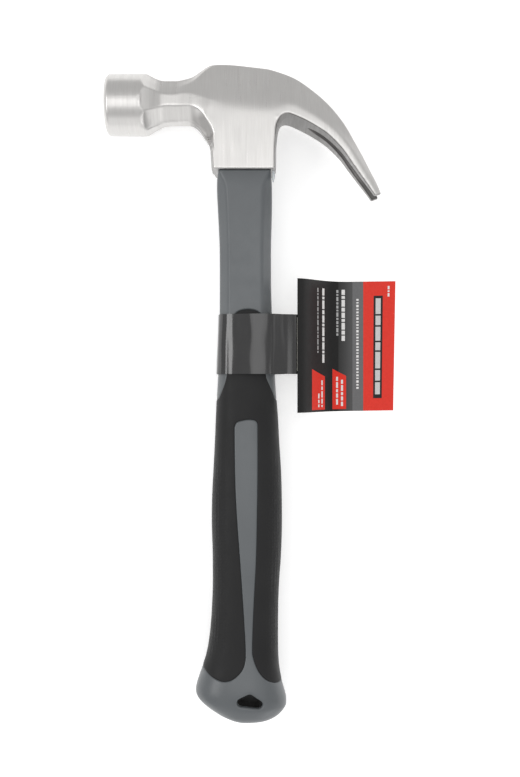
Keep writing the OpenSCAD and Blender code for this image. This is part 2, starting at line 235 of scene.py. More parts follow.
def printed(name, col, col2=None, rough=0.34, axis_fade=None):
    """Coated board: an even ink with a faint mottle and paper tooth."""
    m, nt, b = new_mat(name)
    v = coords(nt)
    base = mixcol(nt, remap(nt, noise(nt, v, 900.0, 3.0), 0, 1, 0.3, 0.7), col, tuple(min(1, c * 1.10 + 0.002) for c in col))
    if col2 is not None:
        base = mixcol(nt, axis_fade(nt), base, col2)
    nt.links.new(base, b.inputs["Base Color"])
    nt.links.new(remap(nt, noise(nt, v, 300.0), rough - 0.03, rough + 0.05, 0.3, 0.7), b.inputs["Roughness"])
    b.inputs["Specular IOR Level"].default_value = 0.22
    bump(nt, b, noise(nt, v, 3000.0, 2.0), 0.06, 0.0001)
    return m


def clear_resin(name, col, rough, trans):
    m, nt, b = new_mat(name)
    v = coords(nt)
    nt.links.new(mixcol(nt, noise(nt, v, 350.0, 4.0), col, tuple(c * 0.82 for c in col)), b.inputs["Base Color"])
    nt.links.new(remap(nt, noise(nt, v, 500.0), rough, rough + 0.12), b.inputs["Roughness"])
    b.inputs["Transmission Weight"].default_value = trans
    b.inputs["Subsurface Weight"].default_value = 0.3
    b.inputs["Subsurface Radius"].default_value = (0.002, 0.002, 0.0015)
    b.inputs["Subsurface Scale"].default_value = 1.0
    bump(nt, b, noise(nt, v, 700.0, 3.0), 0.2, 0.0003)
    return m


def fibre():
    m, nt, b = new_mat("glass_fibre")
    lines = noise(nt, coords(nt, (2400, 25, 2400)), 1.0, 3.0)
    nt.links.new(mixcol(nt, lines, (0.62, 0.55, 0.34), (0.86, 0.80, 0.58)), b.inputs["Base Color"])
    nt.links.new(remap(nt, lines, 0.35, 0.55), b.inputs["Roughness"])
    bump(nt, b, lines, 0.3, 0.0002)
    return m


M_STEEL = steel()
M_GREY = moulded("grey_plastic", (0.078, 0.087, 0.094), (0.091, 0.101, 0.108), 0.38, 1900.0, 0.16, 0.85)
M_SOFT = soft_black()
M_FILM = film()
M_RESIN = clear_resin("epoxy", (0.74, 0.69, 0.52), 0.25, 0.15)
M_BEAD = clear_resin("resin_drop", (0.66, 0.69, 0.72), 0.12, 0.1)
M_FIBRE = fibre()
# painted shade: the hang hole's inner wall is near black, for the shade deep inside the hole
M_HOLE_SHADE = moulded("hole_wall_painted_shade", (0.010, 0.010, 0.010), (0.016, 0.016, 0.016), 0.6, 1500.0, 0.2, 0.15)
M_GLUE = moulded("adhesive", (0.80, 0.78, 0.70), (0.86, 0.84, 0.76), 0.35, 900.0, 0.15)


# ------------------------------------------------------------------ shared maths
def crom(rows, n):
    rows = np.asarray(rows, float)
    out = []
    m = len(rows)
    for i in range(m - 1):
        p0, p1, p2, p3 = rows[max(i - 1, 0)], rows[i], rows[i + 1], rows[min(i + 2, m - 1)]
        for k in range(n):
            t = k / n
            out.append(0.5 * (2 * p1 + (p2 - p0) * t + (2 * p0 - 5 * p1 + 4 * p2 - p3) * t * t
                              + (3 * p1 - p0 - 3 * p2 + p3) * t ** 3))
    out.append(rows[-1])
    return np.array(out)


def smax(a, b, k):
    h = np.maximum(k - np.abs(a - b), 0) / k
    return np.maximum(a, b) + h * h * k * 0.25


def smin(a, b, k):
    return -smax(-a, -b, k)


def sd_poly(px, py, poly):
    """Signed distance to a closed polygon, negative inside."""
    d = np.full(px.shape, 1e9)
    inside = np.zeros(px.shape, bool)
    n = len(poly)
    for i in range(n):
        ax, ay = poly[i]
        bx, by = poly[(i + 1) % n]
        ex, ey = bx - ax, by - ay
        l2 = ex * ex + ey * ey
        if l2 < 1e-12:
            continue
        wx, wy = px - ax, py - ay
        t = np.clip((wx * ex + wy * ey) / l2, 0, 1)
        d = np.minimum(d, (wx - ex * t) ** 2 + (wy - ey * t) ** 2)
        c = (ay > py) != (by > py)
        with np.errstate(divide="ignore", invalid="ignore"):
            inside ^= c & (px < (bx - ax) * (py - ay) / (by - ay if by != ay else 1e-12) + ax)
    d = np.sqrt(d)
    return np.where(inside, -d, d)


def line_param(px, py, pts):
    """Nearest point on a polyline: distance and running index."""
    best = np.full(px.shape, 1e18)
    par = np.zeros(px.shape)
    for i in range(len(pts) - 1):
        ax, ay = pts[i]
        ex, ey = pts[i + 1][0] - ax, pts[i + 1][1] - ay
        t = ((px - ax) * ex + (py - ay) * ey) / (ex * ex + ey * ey)
        if i == len(pts) - 2:
            t = np.maximum(t, 0)      # runs on past the tip
        else:
            t = np.clip(t, 0, 1)
        d = (px - ax - ex * t) ** 2 + (py - ay - ey * t) ** 2
        hit = d < best
        best = np.where(hit, d, best)
        par = np.where(hit, i + t, par)
    return np.sqrt(best), par


def blur(a, n):
    for _ in range(n):
        p = np.pad(a, 1, mode="edge")
        a = (p[:-2, 1:-1] + 2 * p[1:-1, 1:-1] + p[2:, 1:-1]) * 0.25
        p = np.pad(a, 1, mode="edge")
        a = (p[1:-1, :-2] + 2 * p[1:-1, 1:-1] + p[1:-1, 2:]) * 0.25
    return a


def surface_nets(F, o, h):
    """Quads round the zero surface of a sampled field, negative inside."""
    s = F < 0
    n = s[:-1, :-1, :-1].astype(np.int8)
    for i, j, k in ((1, 0, 0), (0, 1, 0), (0, 0, 1), (1, 1, 0), (1, 0, 1), (0, 1, 1), (1, 1, 1)):
        n = n + s[i:s.shape[0] - 1 + i, j:s.shape[1] - 1 + j, k:s.shape[2] - 1 + k]
    mixed = (n > 0) & (n < 8)
    I, J, K = np.nonzero(mixed)
    idx = np.full(mixed.shape, -1, np.int32)
    idx[I, J, K] = np.arange(len(I))
    pos = np.zeros((len(I), 3))
    cnt = np.zeros(len(I))
    corner = [(a, b, c) for a in (0, 1) for b in (0, 1) for c in (0, 1)]
    for a in corner:
        for ax in range(3):
            if a[ax]:
                continue
            b = list(a); b[ax] = 1
            fa, fb = F[I + a[0], J + a[1], K + a[2]], F[I + b[0], J + b[1], K + b[2]]
            hit = (fa < 0) != (fb < 0)
            t = np.where(hit, fa / np.where(hit, fa - fb, 1), 0)
            p = np.tile(np.array(a, float), (len(I), 1))
            p[:, ax] += t
            pos += p * hit[:, None]
            cnt += hit
    pos /= cnt[:, None]
    pos = (pos + np.stack([I, J, K], 1)) * h + np.array(o)
    quads = []
    for ax in range(3):
        sl = [slice(1, -1)] * 3
        sl[ax] = slice(0, -1)
        a = s[tuple(sl)]
        sl2 = list(sl); sl2[ax] = slice(1, None)
        b = s[tuple(sl2)]
        ii = np.nonzero(a != b)
        c = [ii[0] + sl[0].start, ii[1] + sl[1].start, ii[2] + sl[2].start]
        u, v = (ax + 1) % 3, (ax + 2) % 3
        q = []
        for du, dv in ((-1, -1), (0, -1), (0, 0), (-1, 0)):
            cc = [c[0].copy(), c[1].copy(), c[2].copy()]
            cc[u] += du
            cc[v] += dv
            q.append(idx[cc[0], cc[1], cc[2]])
        q = np.stack(q, 1)
        flip = ~a[ii]
        q[flip] = q[flip][:, ::-1]
        quads.append(q)
    return pos, np.concatenate(quads)


# ------------------------------------------------------------------ the head
C, K_ = 13.2, 9.0
FORGING = [
    [-56, 19.0, -56, 52.6, 6.8, 9.8, 17.0, 23.8, 17.0, 4.8, 11.9, 6.8, -6],
    [-53.4, 19.4, -53.4, 52.0, 6.5, 9.6, 15.2, 23.0, 15.2, 4.7, 11.0, 6.5, -6],
    [-51.4, 20.9, -51.4, 50.7, 6.0, 9.0, 14.0, 20.9, 14.0, 4.2, 10.1, 6.0, -6],
    [-49, 22.4, -49, 49.3, 5.4, 8.4, 12.8, 18.5, 12.8, 3.8, 9.4, 6.1, -6],
    [-46, 23.9, -46, 47.9, 4.8, 8.0, 11.6, 16.0, 11.6, 3.7, 8.7, 6.0, -6],
    [-43.5, 25.0, -43.5, 47.2, 4.5, 7.8, 10.9, 14.5, 10.9, 3.8, 8.5, 6.0, -6],
    [-40, 25.6, -40, 47, 4.3, 7.6, 10.6, 13.6, 10.6, 4.0, 8.5, 6.0, -6],
    [-36, 25.8, -36, 47.1, 4.4, 7.3, 10.7, 13.6, 10.7, 4.0, 8.6, 6.1, -6],
    [-33, 25.9, -33, 47.5, 4.5, 7.2, 10.9, 13.8, 10.9, 3.9, 8.9, 6.3, -6],
    [-28, 25.4, -28, 48.7, 4.6, 7.4, 11.7, 13.9, 11.7, 3.3, 9.3, 7.0, -5],
    [-24, 22.9, -24, 51.2, 4.6, 7.8, 12.6, 14.9, 12.5, 2.6, 9.2, 7.2, -5],
    [-20, 19.3, -20, 53.9, 6, 6.0, C, 17.0, C - 0.2, 1.6, 8.7, 7.2, -4],
    [-16, 18.5, -16.4, 54.8, 11, 2, C, 16.9, C, 1.4, K_, 7.8, -4],
    [-7, 20, -7, 54.6, 11, 2, C, 13.9, C, 1.2, K_, 7.9, -3.2],
    [5, 22, 5, 53.3, 11, 2, C, 10.6, C, 1.2, K_, 7.9, -2.4],
    [14.5, 26, 14, 51.9, 13.2, 1, C, 6.4, C, 1.2, K_, 7.9, -2.2],
    [21.3, 28.4, 26, 47.4, 13.5, 0.4, 13.6, 6.0, 13.6, 1.2, K_, 8, -2.2],
    [29.7, 25.2, 36.5, 39.8, 14.1, 0.4, 14.1, 5.6, 14.1, 1.2, 9.7, 8.7, -2.4],
    [37.1, 21.1, 44.2, 32.4, 14.2, 0.4, 14.2, 5.1, 14.2, 1.1, 10.5, 9.6, 1.9],
    [43.3, 16.7, 51, 23.5, 13.9, 0.4, 13.9, 4.6, 13.9, 1.0, 11.3, 10.5, 2.6],
    [49.9, 10, 56.6, 13.7, 13.1, 0.4, 13.1, 4.2, 13.1, 0.9, 11.5, 10.8, 3.4],
    [54.4, 3.8, 60.8, 6.2, 12.3, 0.4, 12.3, 3.9, 12.3, 0.8, 11.0, 10.4, 4.0],
    [59.5, -3.2, 64.6, -1, 11.4, 0.4, 11.4, 3.3, 11.4, 0.7, 10.4, 9.8, 4.2],
    [63.4, -8.4, 67.7, -6.7, 10.7, 0.4, 10.7, 2.7, 10.7, 0.6, 9.9, 9.4, 4.6],
    [66.8, -13.2, 70.1, -12.2, 10.2, 0.3, 10.2, 1.9, 10.2, 0.5, 9.5, 9.1, 5.0]]
SOCKET = [
    [0, -16.0, 14.1, -16.2, 14.2, C - 0.7],
    [0.5, -16.4, 14.6, -17.2, 15.1, C - 0.1],
    [1.6, -16.6, 14.9, -17.9, 15.8, C],
    [11.5, -17.3, 15, -18.6, 15.9, C],
    [17, -17.9, 15.3, -19.8, 16.3, C],
    [21, -18.7, 15.5, -20.8, 16.8, C],
    [25, -20.2, 15.6, -22.0, 17.2, C],
    [29, -22.7, 15.4, -24.2, 17.6, C],
    [31.2, -24.6, 15.0, -25.6, 16.6, C],
    [33.2, -27.0, 14.0, -27.4, 15.6, C]]


def skin_mesh(rings):
    n = len(rings[0])
    v = [tuple(p) for r in rings for p in r]
    f = [list(range(n)), [(len(rings) - 1) * n + i for i in reversed(range(n))]]
    for j in range(len(rings) - 1):
        for i in range(n):
            a, b, c, d = j * n + i, j * n + (i + 1) % n, (j + 1) * n + (i + 1) % n, (j + 1) * n + i
            f += [[a, d, c], [a, c, b]]
    return v, f


def make_head():
    st = crom(FORGING, 8)
    rings = []
    for s in st:
        d = np.array([s[2] - s[0], s[3] - s[1]]); L = np.linalg.norm(d); d = d / L
        hh = [(0, s[4]), (s[5], s[6]), (s[7], s[8]), (L - s[9], s[10]), (L, s[11])]
        rings.append([(s[0] + d[0] * u, s[1] + d[1] * u, w) for u, w in hh]
                     + [(s[0] + d[0] * u, s[1] + d[1] * u, -w) for u, w in reversed(hh)])
    bvh1 = BVHTree.FromPolygons(*skin_mesh(rings))
    sr = crom(SOCKET, 4)
    h = 0.42
    xs = np.arange(-75.6, 73.2, h)
    vs = np.arange(-17.0, 57.4, h)
    H = np.zeros((len(xs), len(vs)))
    down = Vector((0, 0, -1))
    for i, x in enumerate(xs):
        for j, v in enumerate(vs):
            p = bvh1.ray_cast(Vector((x + 1e-4, v + 1e-4, 60)), down)[0]
            H[i, j] = p.z if p is not None else 0
    GX, GV = np.meshgrid(xs, vs, indexing="ij")
    # outline of the forging and of the socket, joined with a fillet
    L = st[:, 0:2]; U = st[:, 2:4]
    d1 = sd_poly(GX, GV, np.concatenate([L, U[::-1]]))
    d2 = sd_poly(GX, GV, np.concatenate([sr[:, [3, 0]], sr[::-1][:, [4, 0]]]))
    d3 = sd_poly(GX, GV, np.concatenate([sr[:, [1, 0]], sr[::-1][:, [2, 0]]]))
    D = smin(d1, d2, 6.0)                    # at the middle plane
    DF = smin(d1, d3, 6.0)                   # at the cheek: the socket's sides are drafted
    level = np.interp(GX, [-28, -24, -20.5], [11.7, 12.6, C])
    near_neck = np.clip((-9 - GX) / 4, 0, 1) * np.clip((GV - 9) / 6, 0, 1)
    soft_edge = np.clip((0.6 - d3) / 0.8, 0, 1) * near_neck + (d3 < 0.2) * (1 - near_neck)
    H = H + (np.maximum(H, level) - H) * soft_edge
    # carry the thickness on past the outline, then soften its ridges
    known = (H > 1) & (np.minimum(d1, d2) < -0.2)
    for _ in range(int(6 / h)):
        p = np.pad(H * known, 1); q = np.pad(known.astype(float), 1)
        s = p[:-2, 1:-1] + p[2:, 1:-1] + p[1:-1, :-2] + p[1:-1, 2:]
        c = q[:-2, 1:-1] + q[2:, 1:-1] + q[1:-1, :-2] + q[1:-1, 2:]
        grow = (~known) & (c > 0)
        H = np.where(grow, s / np.maximum(c, 1), H)
        known = known | grow
    H1 = blur(H, int(round(2 * (0.34 / h) ** 2 + 1)))
    H2 = blur(H, int(round(2 * (2.6 / h) ** 2)))
    # wide soft shoulder above the cheek and along the claws
    wx = np.clip((GX + 19) / 6, 0, 1)
    wv = np.where(GX < 20, np.clip((GV - 25.5) / 5, 0, 1), 1.0)
    dl, _ = line_param(GX, GV, L)
    du, tu = line_param(GX, GV, U)
    H3 = blur(H, int(round(2 * (1.3 / h) ** 2)))
    far = np.clip((GX - 14) / 10, 0, 1)          # a tighter turn out along the claws
    w = blur(wx * wv, int(1.2 / h) ** 2)
    H = H1 * (1 - w) + (H2 * (1 - far) + H3 * far) * w
    throat = np.exp(-((GX + 18.6) ** 2 + (GV - 21.0) ** 2) / (2 * 3.2 ** 2))     # the corner under the neck
    H = H * (1 - throat) + blur(H, int(round(2 * (1.0 / h) ** 2))) * throat
    meet = np.exp(-((GX + 20.8) ** 2 + (GV - 33.2) ** 2) / (2 * 2.8 ** 2))       # where neck, cheek and crown meet
    H = H * (1 - meet) + blur(H, int(round(2 * (1.4 / h) ** 2))) * meet
    mid = (L + U) / 2
    _, t = line_param(GX, GV, mid)
    G = np.interp(t, np.arange(len(st)), st[:, 12])
    G = np.where(t > len(st) - 1, st[-1, 12] + (t - len(st) + 1) * (st[-1, 12] - st[-3, 12]) / 2, G)
    G = blur(G, int(round(2 * (0.8 / h) ** 2)))
    G = G + np.clip(1.7 - dl, 0, 1.7) * 0.55 * np.clip((G + 0.6) / 1.0, 0, 1) \
          + np.clip(1.2 - du, 0, 1.2) * 0.35 * np.clip((G + 0.6) / 1.0, 0, 1)
    gx, gv = np.gradient(H, h)
    S = 1 / np.sqrt(1 + gx ** 2 + gv ** 2)
    fields = [H, D, G, S, DF]

    def sample(f, x, v):
        i = np.clip((x - xs[0]) / h, 0, len(xs) - 1.001); j = np.clip((v - vs[0]) / h, 0, len(vs) - 1.001)
        a = i.astype(int); b = j.astype(int); i -= a; j -= b
        return (f[a, b] * (1 - i) + f[a + 1, b] * i) * (1 - j) + (f[a, b + 1] * (1 - i) + f[a + 1, b + 1] * i) * j

    def field(x, v, z, f2):
        Hs, Ds, Gs, Ss, Fs = f2
        az = np.abs(z)
        up = np.clip((az - 4.5) / (C - 5.2), 0, 1)
        Ds = Ds * (1 - up) + Fs * up
        r = np.sqrt((v - 35.8) ** 2 + z ** 2)
        f = smax((az - Hs) * Ss, Ds, 0.75)
        f = np.where(x < -43.0, smax(f, r - 16.0, 0.5), f)
        f = smax(f, -(x + 55.5), 0.3)
        # turned poll: crowned face, chamfered rim, small rear edge
        fp = smax(r - 16.0, (-73.6 + 0.55 * (r / 14.4) ** 2) - x, 0.5)
        fp = smax(fp, ((r - 14.4) + (-73.05 - x)) * 0.7071, 0.6)
        fp = smax(fp, x + 53.6, 0.4)
        fp = smax(fp, (x + 53.6 + (r - 15.6)) * 0.7071, 0.3)
        f = smin(f, fp, 0.35)
        # tapered eye
        ex = 11.8 - 1.4 * v / 55; ez = 8.4 - 2.5 * v / 55
        fe = ((np.abs(x + 1) / ex) ** (10 / 3) + (az / ez) ** (10 / 3)) ** 0.3 - 1
        f = smax(f, -fe * ez, 0.7)
        # the V between the claws
        f = smax(f, Gs - az, 0.6)
        return f

    zs = np.arange(-17.4, 17.5, h)
    F = np.empty((len(xs), len(vs), len(zs)), np.float32)
    for k, z in enumerate(zs):
        F[:, :, k] = field(GX, GV, np.full_like(GX, z), fields)
    pos, quads = surface_nets(F, (xs[0], vs[0], zs[0]), h)

    def ev(p):
        return field(p[:, 0], p[:, 1], p[:, 2], [sample(f, p[:, 0], p[:, 1]) for f in fields])

    def dsamp(p):
        return sample(D, p[:, 0], p[:, 1])

    e = 0.06
    for _ in range(3):
        f0 = ev(pos)
        g = np.stack([(ev(pos + np.eye(3)[a] * e) - ev(pos - np.eye(3)[a] * e)) / (2 * e) for a in range(3)], 1)
        n2 = np.maximum((g ** 2).sum(1), 0.15)
        step = -(f0 / n2)[:, None] * g
        ln = np.linalg.norm(step, axis=1, keepdims=True)
        pos = pos + step * np.minimum(1, 0.35 * h / np.maximum(ln, 1e-9))
    pos[:, 0] = np.maximum(pos[:, 0], -73.58)
    pos[:, 1] = np.minimum(pos[:, 1], 54.82)
    pos[:, 2] = np.clip(pos[:, 2], -15.99, 15.99)
    g /= np.maximum(np.linalg.norm(g, axis=1, keepdims=True), 1e-6)
    x, v, az = pos[:, 0], pos[:, 1], np.abs(pos[:, 2])
    # painted shade: steel darkened where its faces turn down and sideways, under the claws and the neck; the slot
    # between the claws is darkened as well
    side = np.clip((0.80 - np.abs(g[:, 2])) / 0.25, 0, 1)
    below = np.clip((0.25 - g[:, 1]) / 0.3, 0, 1)              # under the claws and the neck
    right = np.clip((x - 11) / 4, 0, 1) * below
    left = np.clip((-14 - x) / 2, 0, 1) * np.clip((x + 30) / 3, 0, 1) * np.clip((31 - v) / 4, 0, 1) * below
    slot = np.clip((x - 27) / 3, 0, 1) * np.clip((sample(G, x, v) + 0.75 - az) / 0.6, 0, 1)
    tone = side * np.clip(right + left * 0.75, 0, 1) * 0.62
    tone = np.maximum(tone, slot * 0.83)
    pos = pos + np.array([AX, Y0, ZC])
    o = mesh_object("forged_head", pos, list(quads), [M_STEEL])
    at = o.data.attributes.new("painted_shade_and_slot", "FLOAT", "POINT")
    if len(o.data.vertices) == len(tone):
        at.data.foreach_set("value", tone.astype(np.float32))
    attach(o, "hammer"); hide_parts("head")
    return o


# ------------------------------------------------------------------ the handle
N_, H_ = 11.0, 13.6
# q runs down the handle; y, left, right, half thickness, chamfer, roundness
HANDLE = [
    [116, 116, 14.3, 13, N_ - 0.5, 0.12, 0],
    [113.4, 113.4, 14.8, 13.35, N_ - 0.3, 0.4, 0],
    [110, 110, 15.1, 13.6, N_, 0.85, 0],
    [106, 106, 15.1, 13.7, N_, 1, 0],
    [98, 98, 14.7, 13.7, N_, 1, 0],
    [88, 88, 14.2, 13.5, N_, 1, 0],
    [76, 76, 13.7, 13.2, N_, 1, 0],
    [60, 60, 13.6, 13.2, N_, 1, 0],
    [44, 44, 13.7, 13.6, N_, 1, 0.05],
    [26, 26, 14.1, 14.4, N_ + 0.4, 1, 0.3],
    [9, 9, 14.7, 15.3, N_ + 1, 1, 0.7],
    [-2, -2, 15.3, 16, H_ - 1, 1, 0.9],
    [-14, -14, 15.8, 16.9, H_ - 0.5, 1, 1],
    [-26, -26, 16.3, 17.5, H_ - 0.2, 1, 1],
    [-40, -40, 17, 18.4, H_, 1, 1],
    [-54, -54, 17.7, 18.8, H_, 1, 1],
    [-66, -66, 17.9, 18.9, H_, 1, 1],
    [-84, -84, 17.4, 18.4, H_ - 0.1, 1, 1],
    [-98, -98, 17.3, 17.4, H_ - 0.3, 1, 1],
    [-112, -112, 17.8, 16.9, H_ - 0.4, 1, 1],
    [-126, -126, 18.9, 16.8, H_ - 0.2, 1, 1],
    [-136, -136, 20.6, 16.9, H_ + 0.3, 1, 1],
    [-143, -143, 22.8, 17.4, H_ + 1, 1, 1],
    [-149, -149, 25, 18.5, 15.4, 1, 1],
    [-153, -153, 26.3, 19.5, 15.9, 1, 1],
    [-156.2, -156, 26.7, 20.5, 16, 1, 1],
    [-159.8, -159, 25.1, 21.3, 15.9, 1, 1],
    [-164.0, -162, 22, 21.3, 15.5, 1, 1],
    [-168.6, -165, 17.8, 19.7, 14.6, 1, 1],
    [-173.6, -168, 12.6, 16.6, 13.0, 1, 1],
    [-178.4, -170, 7.2, 12.4, 10.4, 1, 1],
    [-182.4, -170.76, 2.6, 8.6, 7.0, 1, 1],
    [-186.0, -170.88, -1.2, 5.2, 3.2, 1, 1]]
HW = 45.0                                    # width of the flattened half handle


def pchip(xq, x, y):
    """Monotone cubic through the stations (x falling)."""
    x = -np.asarray(x, float); y = np.asarray(y, float); xq = -np.asarray(xq, float)
    hh = np.diff(x); dl = np.diff(y) / hh
    m = np.zeros(len(x))
    for i in range(1, len(x) - 1):
        if dl[i - 1] * dl[i] > 0:
            w1 = 2 * hh[i] + hh[i - 1]; w2 = hh[i] + 2 * hh[i - 1]
            m[i] = (w1 + w2) / (w1 / dl[i - 1] + w2 / dl[i])
    m[0], m[-1] = dl[0], dl[-1]
    k = np.clip(np.searchsorted(x, xq) - 1, 0, len(x) - 2)
    t = (xq - x[k]) / hh[k]
    return ((1 + 2 * t) * (1 - t) ** 2 * y[k] + t * (1 - t) ** 2 * hh[k] * m[k]
            + t * t * (3 - 2 * t) * y[k + 1] + t * t * (t - 1) * hh[k] * m[k + 1])


QS = np.arange(116.0, -186.01, -0.5)
_rows = np.array(HANDLE)


def smooth_cols():
    cols = [pchip(QS, _rows[:, 0], _rows[:, c]) for c in range(1, 7)]
    out = []
    for c in cols[:1]:
        out.append(c)
    for c in cols[1:]:
        e = np.pad(c, 14, mode="reflect", reflect_type="odd")
        k = np.exp(-0.5 * (np.arange(-14, 15) / 5.0) ** 2); k /= k.sum()
        s = np.convolve(e, k, "valid")
        w = np.clip((QS + 168) / 10, 0, 1)       # leave the end of the butt alone
        out.append(s * w + c * (1 - w))
    return np.stack(out, 1)


COLS = smooth_cols()
NR = 481                                      # points over half a ring


def half_rings():
    R = np.zeros((len(QS), NR, 2))
    for q, (y, xl, xr, hz, cf, rd) in enumerate(COLS):
        fx, fz = 1 - 0.36 * cf, 1 - 0.5 * cf
        corner = np.array([[1, -fz], [1, fz], [fx, 1], [-fx, 1], [-1, fz], [-1, -fz], [-fx, -1], [fx, -1], [1, -fz]])
        p = np.concatenate([corner[i] + (corner[i + 1] - corner[i]) * (np.arange(60) / 60)[:, None] for i in range(8)])
        w = np.arctan2(p[:, 1], p[:, 0]); e = 2.35
        o = np.stack([np.cos(w), np.sin(w)], 1) / ((np.abs(np.cos(w)) ** e + np.abs(np.sin(w)) ** e) ** (1 / e))[:, None]
        p = p * (1 - rd) + o * rd
        p = np.stack([p[:, 0] * np.where(p[:, 0] < 0, xl, xr), p[:, 1] * hz], 1)
        # even spacing round the ring, then round the corners a little
        cl = np.vstack([p, p[:1]])
        s = np.concatenate([[0], np.cumsum(np.linalg.norm(np.diff(cl, axis=0), axis=1))])
        u = np.linspace(0, s[-1], 961)[:-1]
        p = np.stack([np.interp(u, s, cl[:, 0]), np.interp(u, s, cl[:, 1])], 1)
        sg = 0.75 / (s[-1] / 960)
        kk = np.arange(-40, 41); k = np.exp(-0.5 * (kk / sg) ** 2); k /= k.sum()
        pp = np.vstack([p[-40:], p, p[:40]])
        p = np.stack([np.convolve(pp[:, 0], k, "valid"), np.convolve(pp[:, 1], k, "valid")], 1)
        # front half, from the right flank over the front to the left flank
        i0 = int(np.argmin(np.where(p[:, 0] > (xr - xl) / 2, np.abs(p[:, 1]), 1e9)))
        p = np.roll(p, -i0, axis=0)
        f = p[p[:, 1] > 1e-6]
        f = f[np.argsort(-np.arctan2(-f[:, 0] + (xr - xl) / 2, f[:, 1]))][::-1] if False else f
        right = np.array([[p[:, 0].max(), 0.0]]); left = np.array([[p[:, 0].min(), 0.0]])
        f = np.vstack([right, f, left])
        s = np.concatenate([[0], np.cumsum(np.linalg.norm(np.diff(f, axis=0), axis=1))])
        u = np.linspace(0, s[-1], NR)
        R[q] = np.stack([np.interp(u, s, f[:, 0]), np.interp(u, s, f[:, 1])], 1)
    return R


RINGS = half_rings()
HALF = np.linalg.norm(np.diff(RINGS, axis=1), axis=2).sum(1)      # half girth at each q


def surf(a, q):
    """Point of the handle's front surface: a from 0 (right) to HW (left), q down the handle."""
    a = np.asarray(a, float); q = np.asarray(q, float)
    i = np.clip((116 - q) / 0.5, 0, len(QS) - 1.0001); j = np.clip(a / HW * (NR - 1), 0, NR - 1.0001)
    i0 = i.astype(int); j0 = j.astype(int); fi = (i - i0)[:, None]; fj = (j - j0)[:, None]
    p = (RINGS[i0, j0] * (1 - fj) + RINGS[i0, j0 + 1] * fj) * (1 - fi) \
        + (RINGS[i0 + 1, j0] * (1 - fj) + RINGS[i0 + 1, j0 + 1] * fj) * fi
    y = COLS[i0, 0] * (1 - fi[:, 0]) + COLS[i0 + 1, 0] * fi[:, 0]
    return np.stack([p[:, 0], y, p[:, 1]], 1)


def surf_normal(a, q):
    e = 0.35
    da = surf(np.minimum(a + e, HW), q) - surf(np.maximum(a - e, 0), q)
    dq = surf(a, np.maximum(q - e, -186)) - surf(a, np.minimum(q + e, 116))
    n = np.cross(da, dq)
    n /= np.maximum(np.linalg.norm(n, axis=1, keepdims=True), 1e-9)
    edge = (a < 1e-6) | (a > HW - 1e-6)          # on the flanks the two halves share one normal
    n[edge, 2] = 0
    n /= np.maximum(np.linalg.norm(n, axis=1, keepdims=True), 1e-9)
    return n


def to_aq(pts):
    """Front-view points (x, y) to the flattened surface; points past a flank are set on that flank and flagged R or L.
    """
    out = []
    for x, y in pts:
        q = float(np.interp(-y, -COLS[:, 0], -QS)) * 1.0
        q = float(np.interp(y, COLS[::-1, 0], QS[::-1]))
        i = int(round((116 - q) / 0.5))
        r = RINGS[min(max(i, 0), len(QS) - 1)]
        if x >= r[0, 0]:
            out.append((0.0, q, "R"))
        elif x <= r[-1, 0]:
            out.append((HW, q, "L"))
        else:
            out.append((float(np.interp(-x, -r[:, 0], np.linspace(0, HW, NR))), q, ""))
    return out


def resample(pts, step, closed=False):
    p = np.asarray(pts, float)
    if closed:
        p = np.vstack([p, p[:1]])
    s = np.concatenate([[0], np.cumsum(np.linalg.norm(np.diff(p, axis=0), axis=1))])
    n = max(2, int(round(s[-1] / step)))
    u = np.linspace(0, s[-1], n + 1)
    r = np.stack([np.interp(u, s, p[:, 0]), np.interp(u, s, p[:, 1])], 1)
    return r[:-1] if closed else r


def trim(aq):
    """Keep the run of a curve between the two flanks."""
    a = [(u, v) for u, v, _ in aq]
    flags = [f for _, _, f in aq]
    i = 0
    while i + 1 < len(flags) and flags[i + 1]:
        i += 1
    j = len(flags) - 1
    while j - 1 >= 0 and flags[j - 1]:
        j -= 1
    return a[i:j + 1]


TONGUE = [(1.1 + 6.6 * math.cos(math.radians(t)), 40.6 + 3.2 * math.sin(math.radians(t))) for t in range(0, 181, 15)]
TOP = [(24, -5.0), (20, -4.2), (16.6, -3.2), (15.2, -2), (14.3, 0.6), (12.6, 4.3), (11.3, 7.1), (10.6, 9.5), (9.8, 18), (8.9, 29)] + \
      TONGUE + [(-6.6, 29), (-8.6, 18), (-9.9, 9.5), (-10.7, 6.2), (-12.3, 1.9), (-13.4, -0.8), (-14.8, -2.6), (-19, -4), (-24, -5.2)]
WINTOP = [(-5.8, -17.2), (-5.5, -15.9), (-4.8, -14.7), (-3.1, -13.9), (-0.5, -13.3), (1.5, -13.1),
          (3.4, -13.2), (4.8, -13.5), (5.6, -14.1), (6.1, -15), (6.3, -16.6)]
LOW = [(-34, -137), (-28, -139.4), (-24.5, -141.2), (-21.9, -142.8), (-17.3, -145.9), (-11.6, -147.7), (-6.5, -146.4),
       (-2.1, -142.3), (-0.3, -137.6), (-0.1, -130), (-1.4, -108), (-3, -85), (-4.7, -62), (-5.6, -42), (-5.9, -19)] + \
      WINTOP + [(6.3, -19), (6.3, -42), (6, -62), (5.5, -85), (4.3, -108), (3.5, -130), (4.1, -136.1),
                (6.6, -142.3), (10.3, -146.7), (14.4, -148.9), (18.4, -149.6), (24, -149.8), (34, -149)]
HOLE = [(-2.1, -158.2), (2.1, -156.2), (6.6, -159.3)]


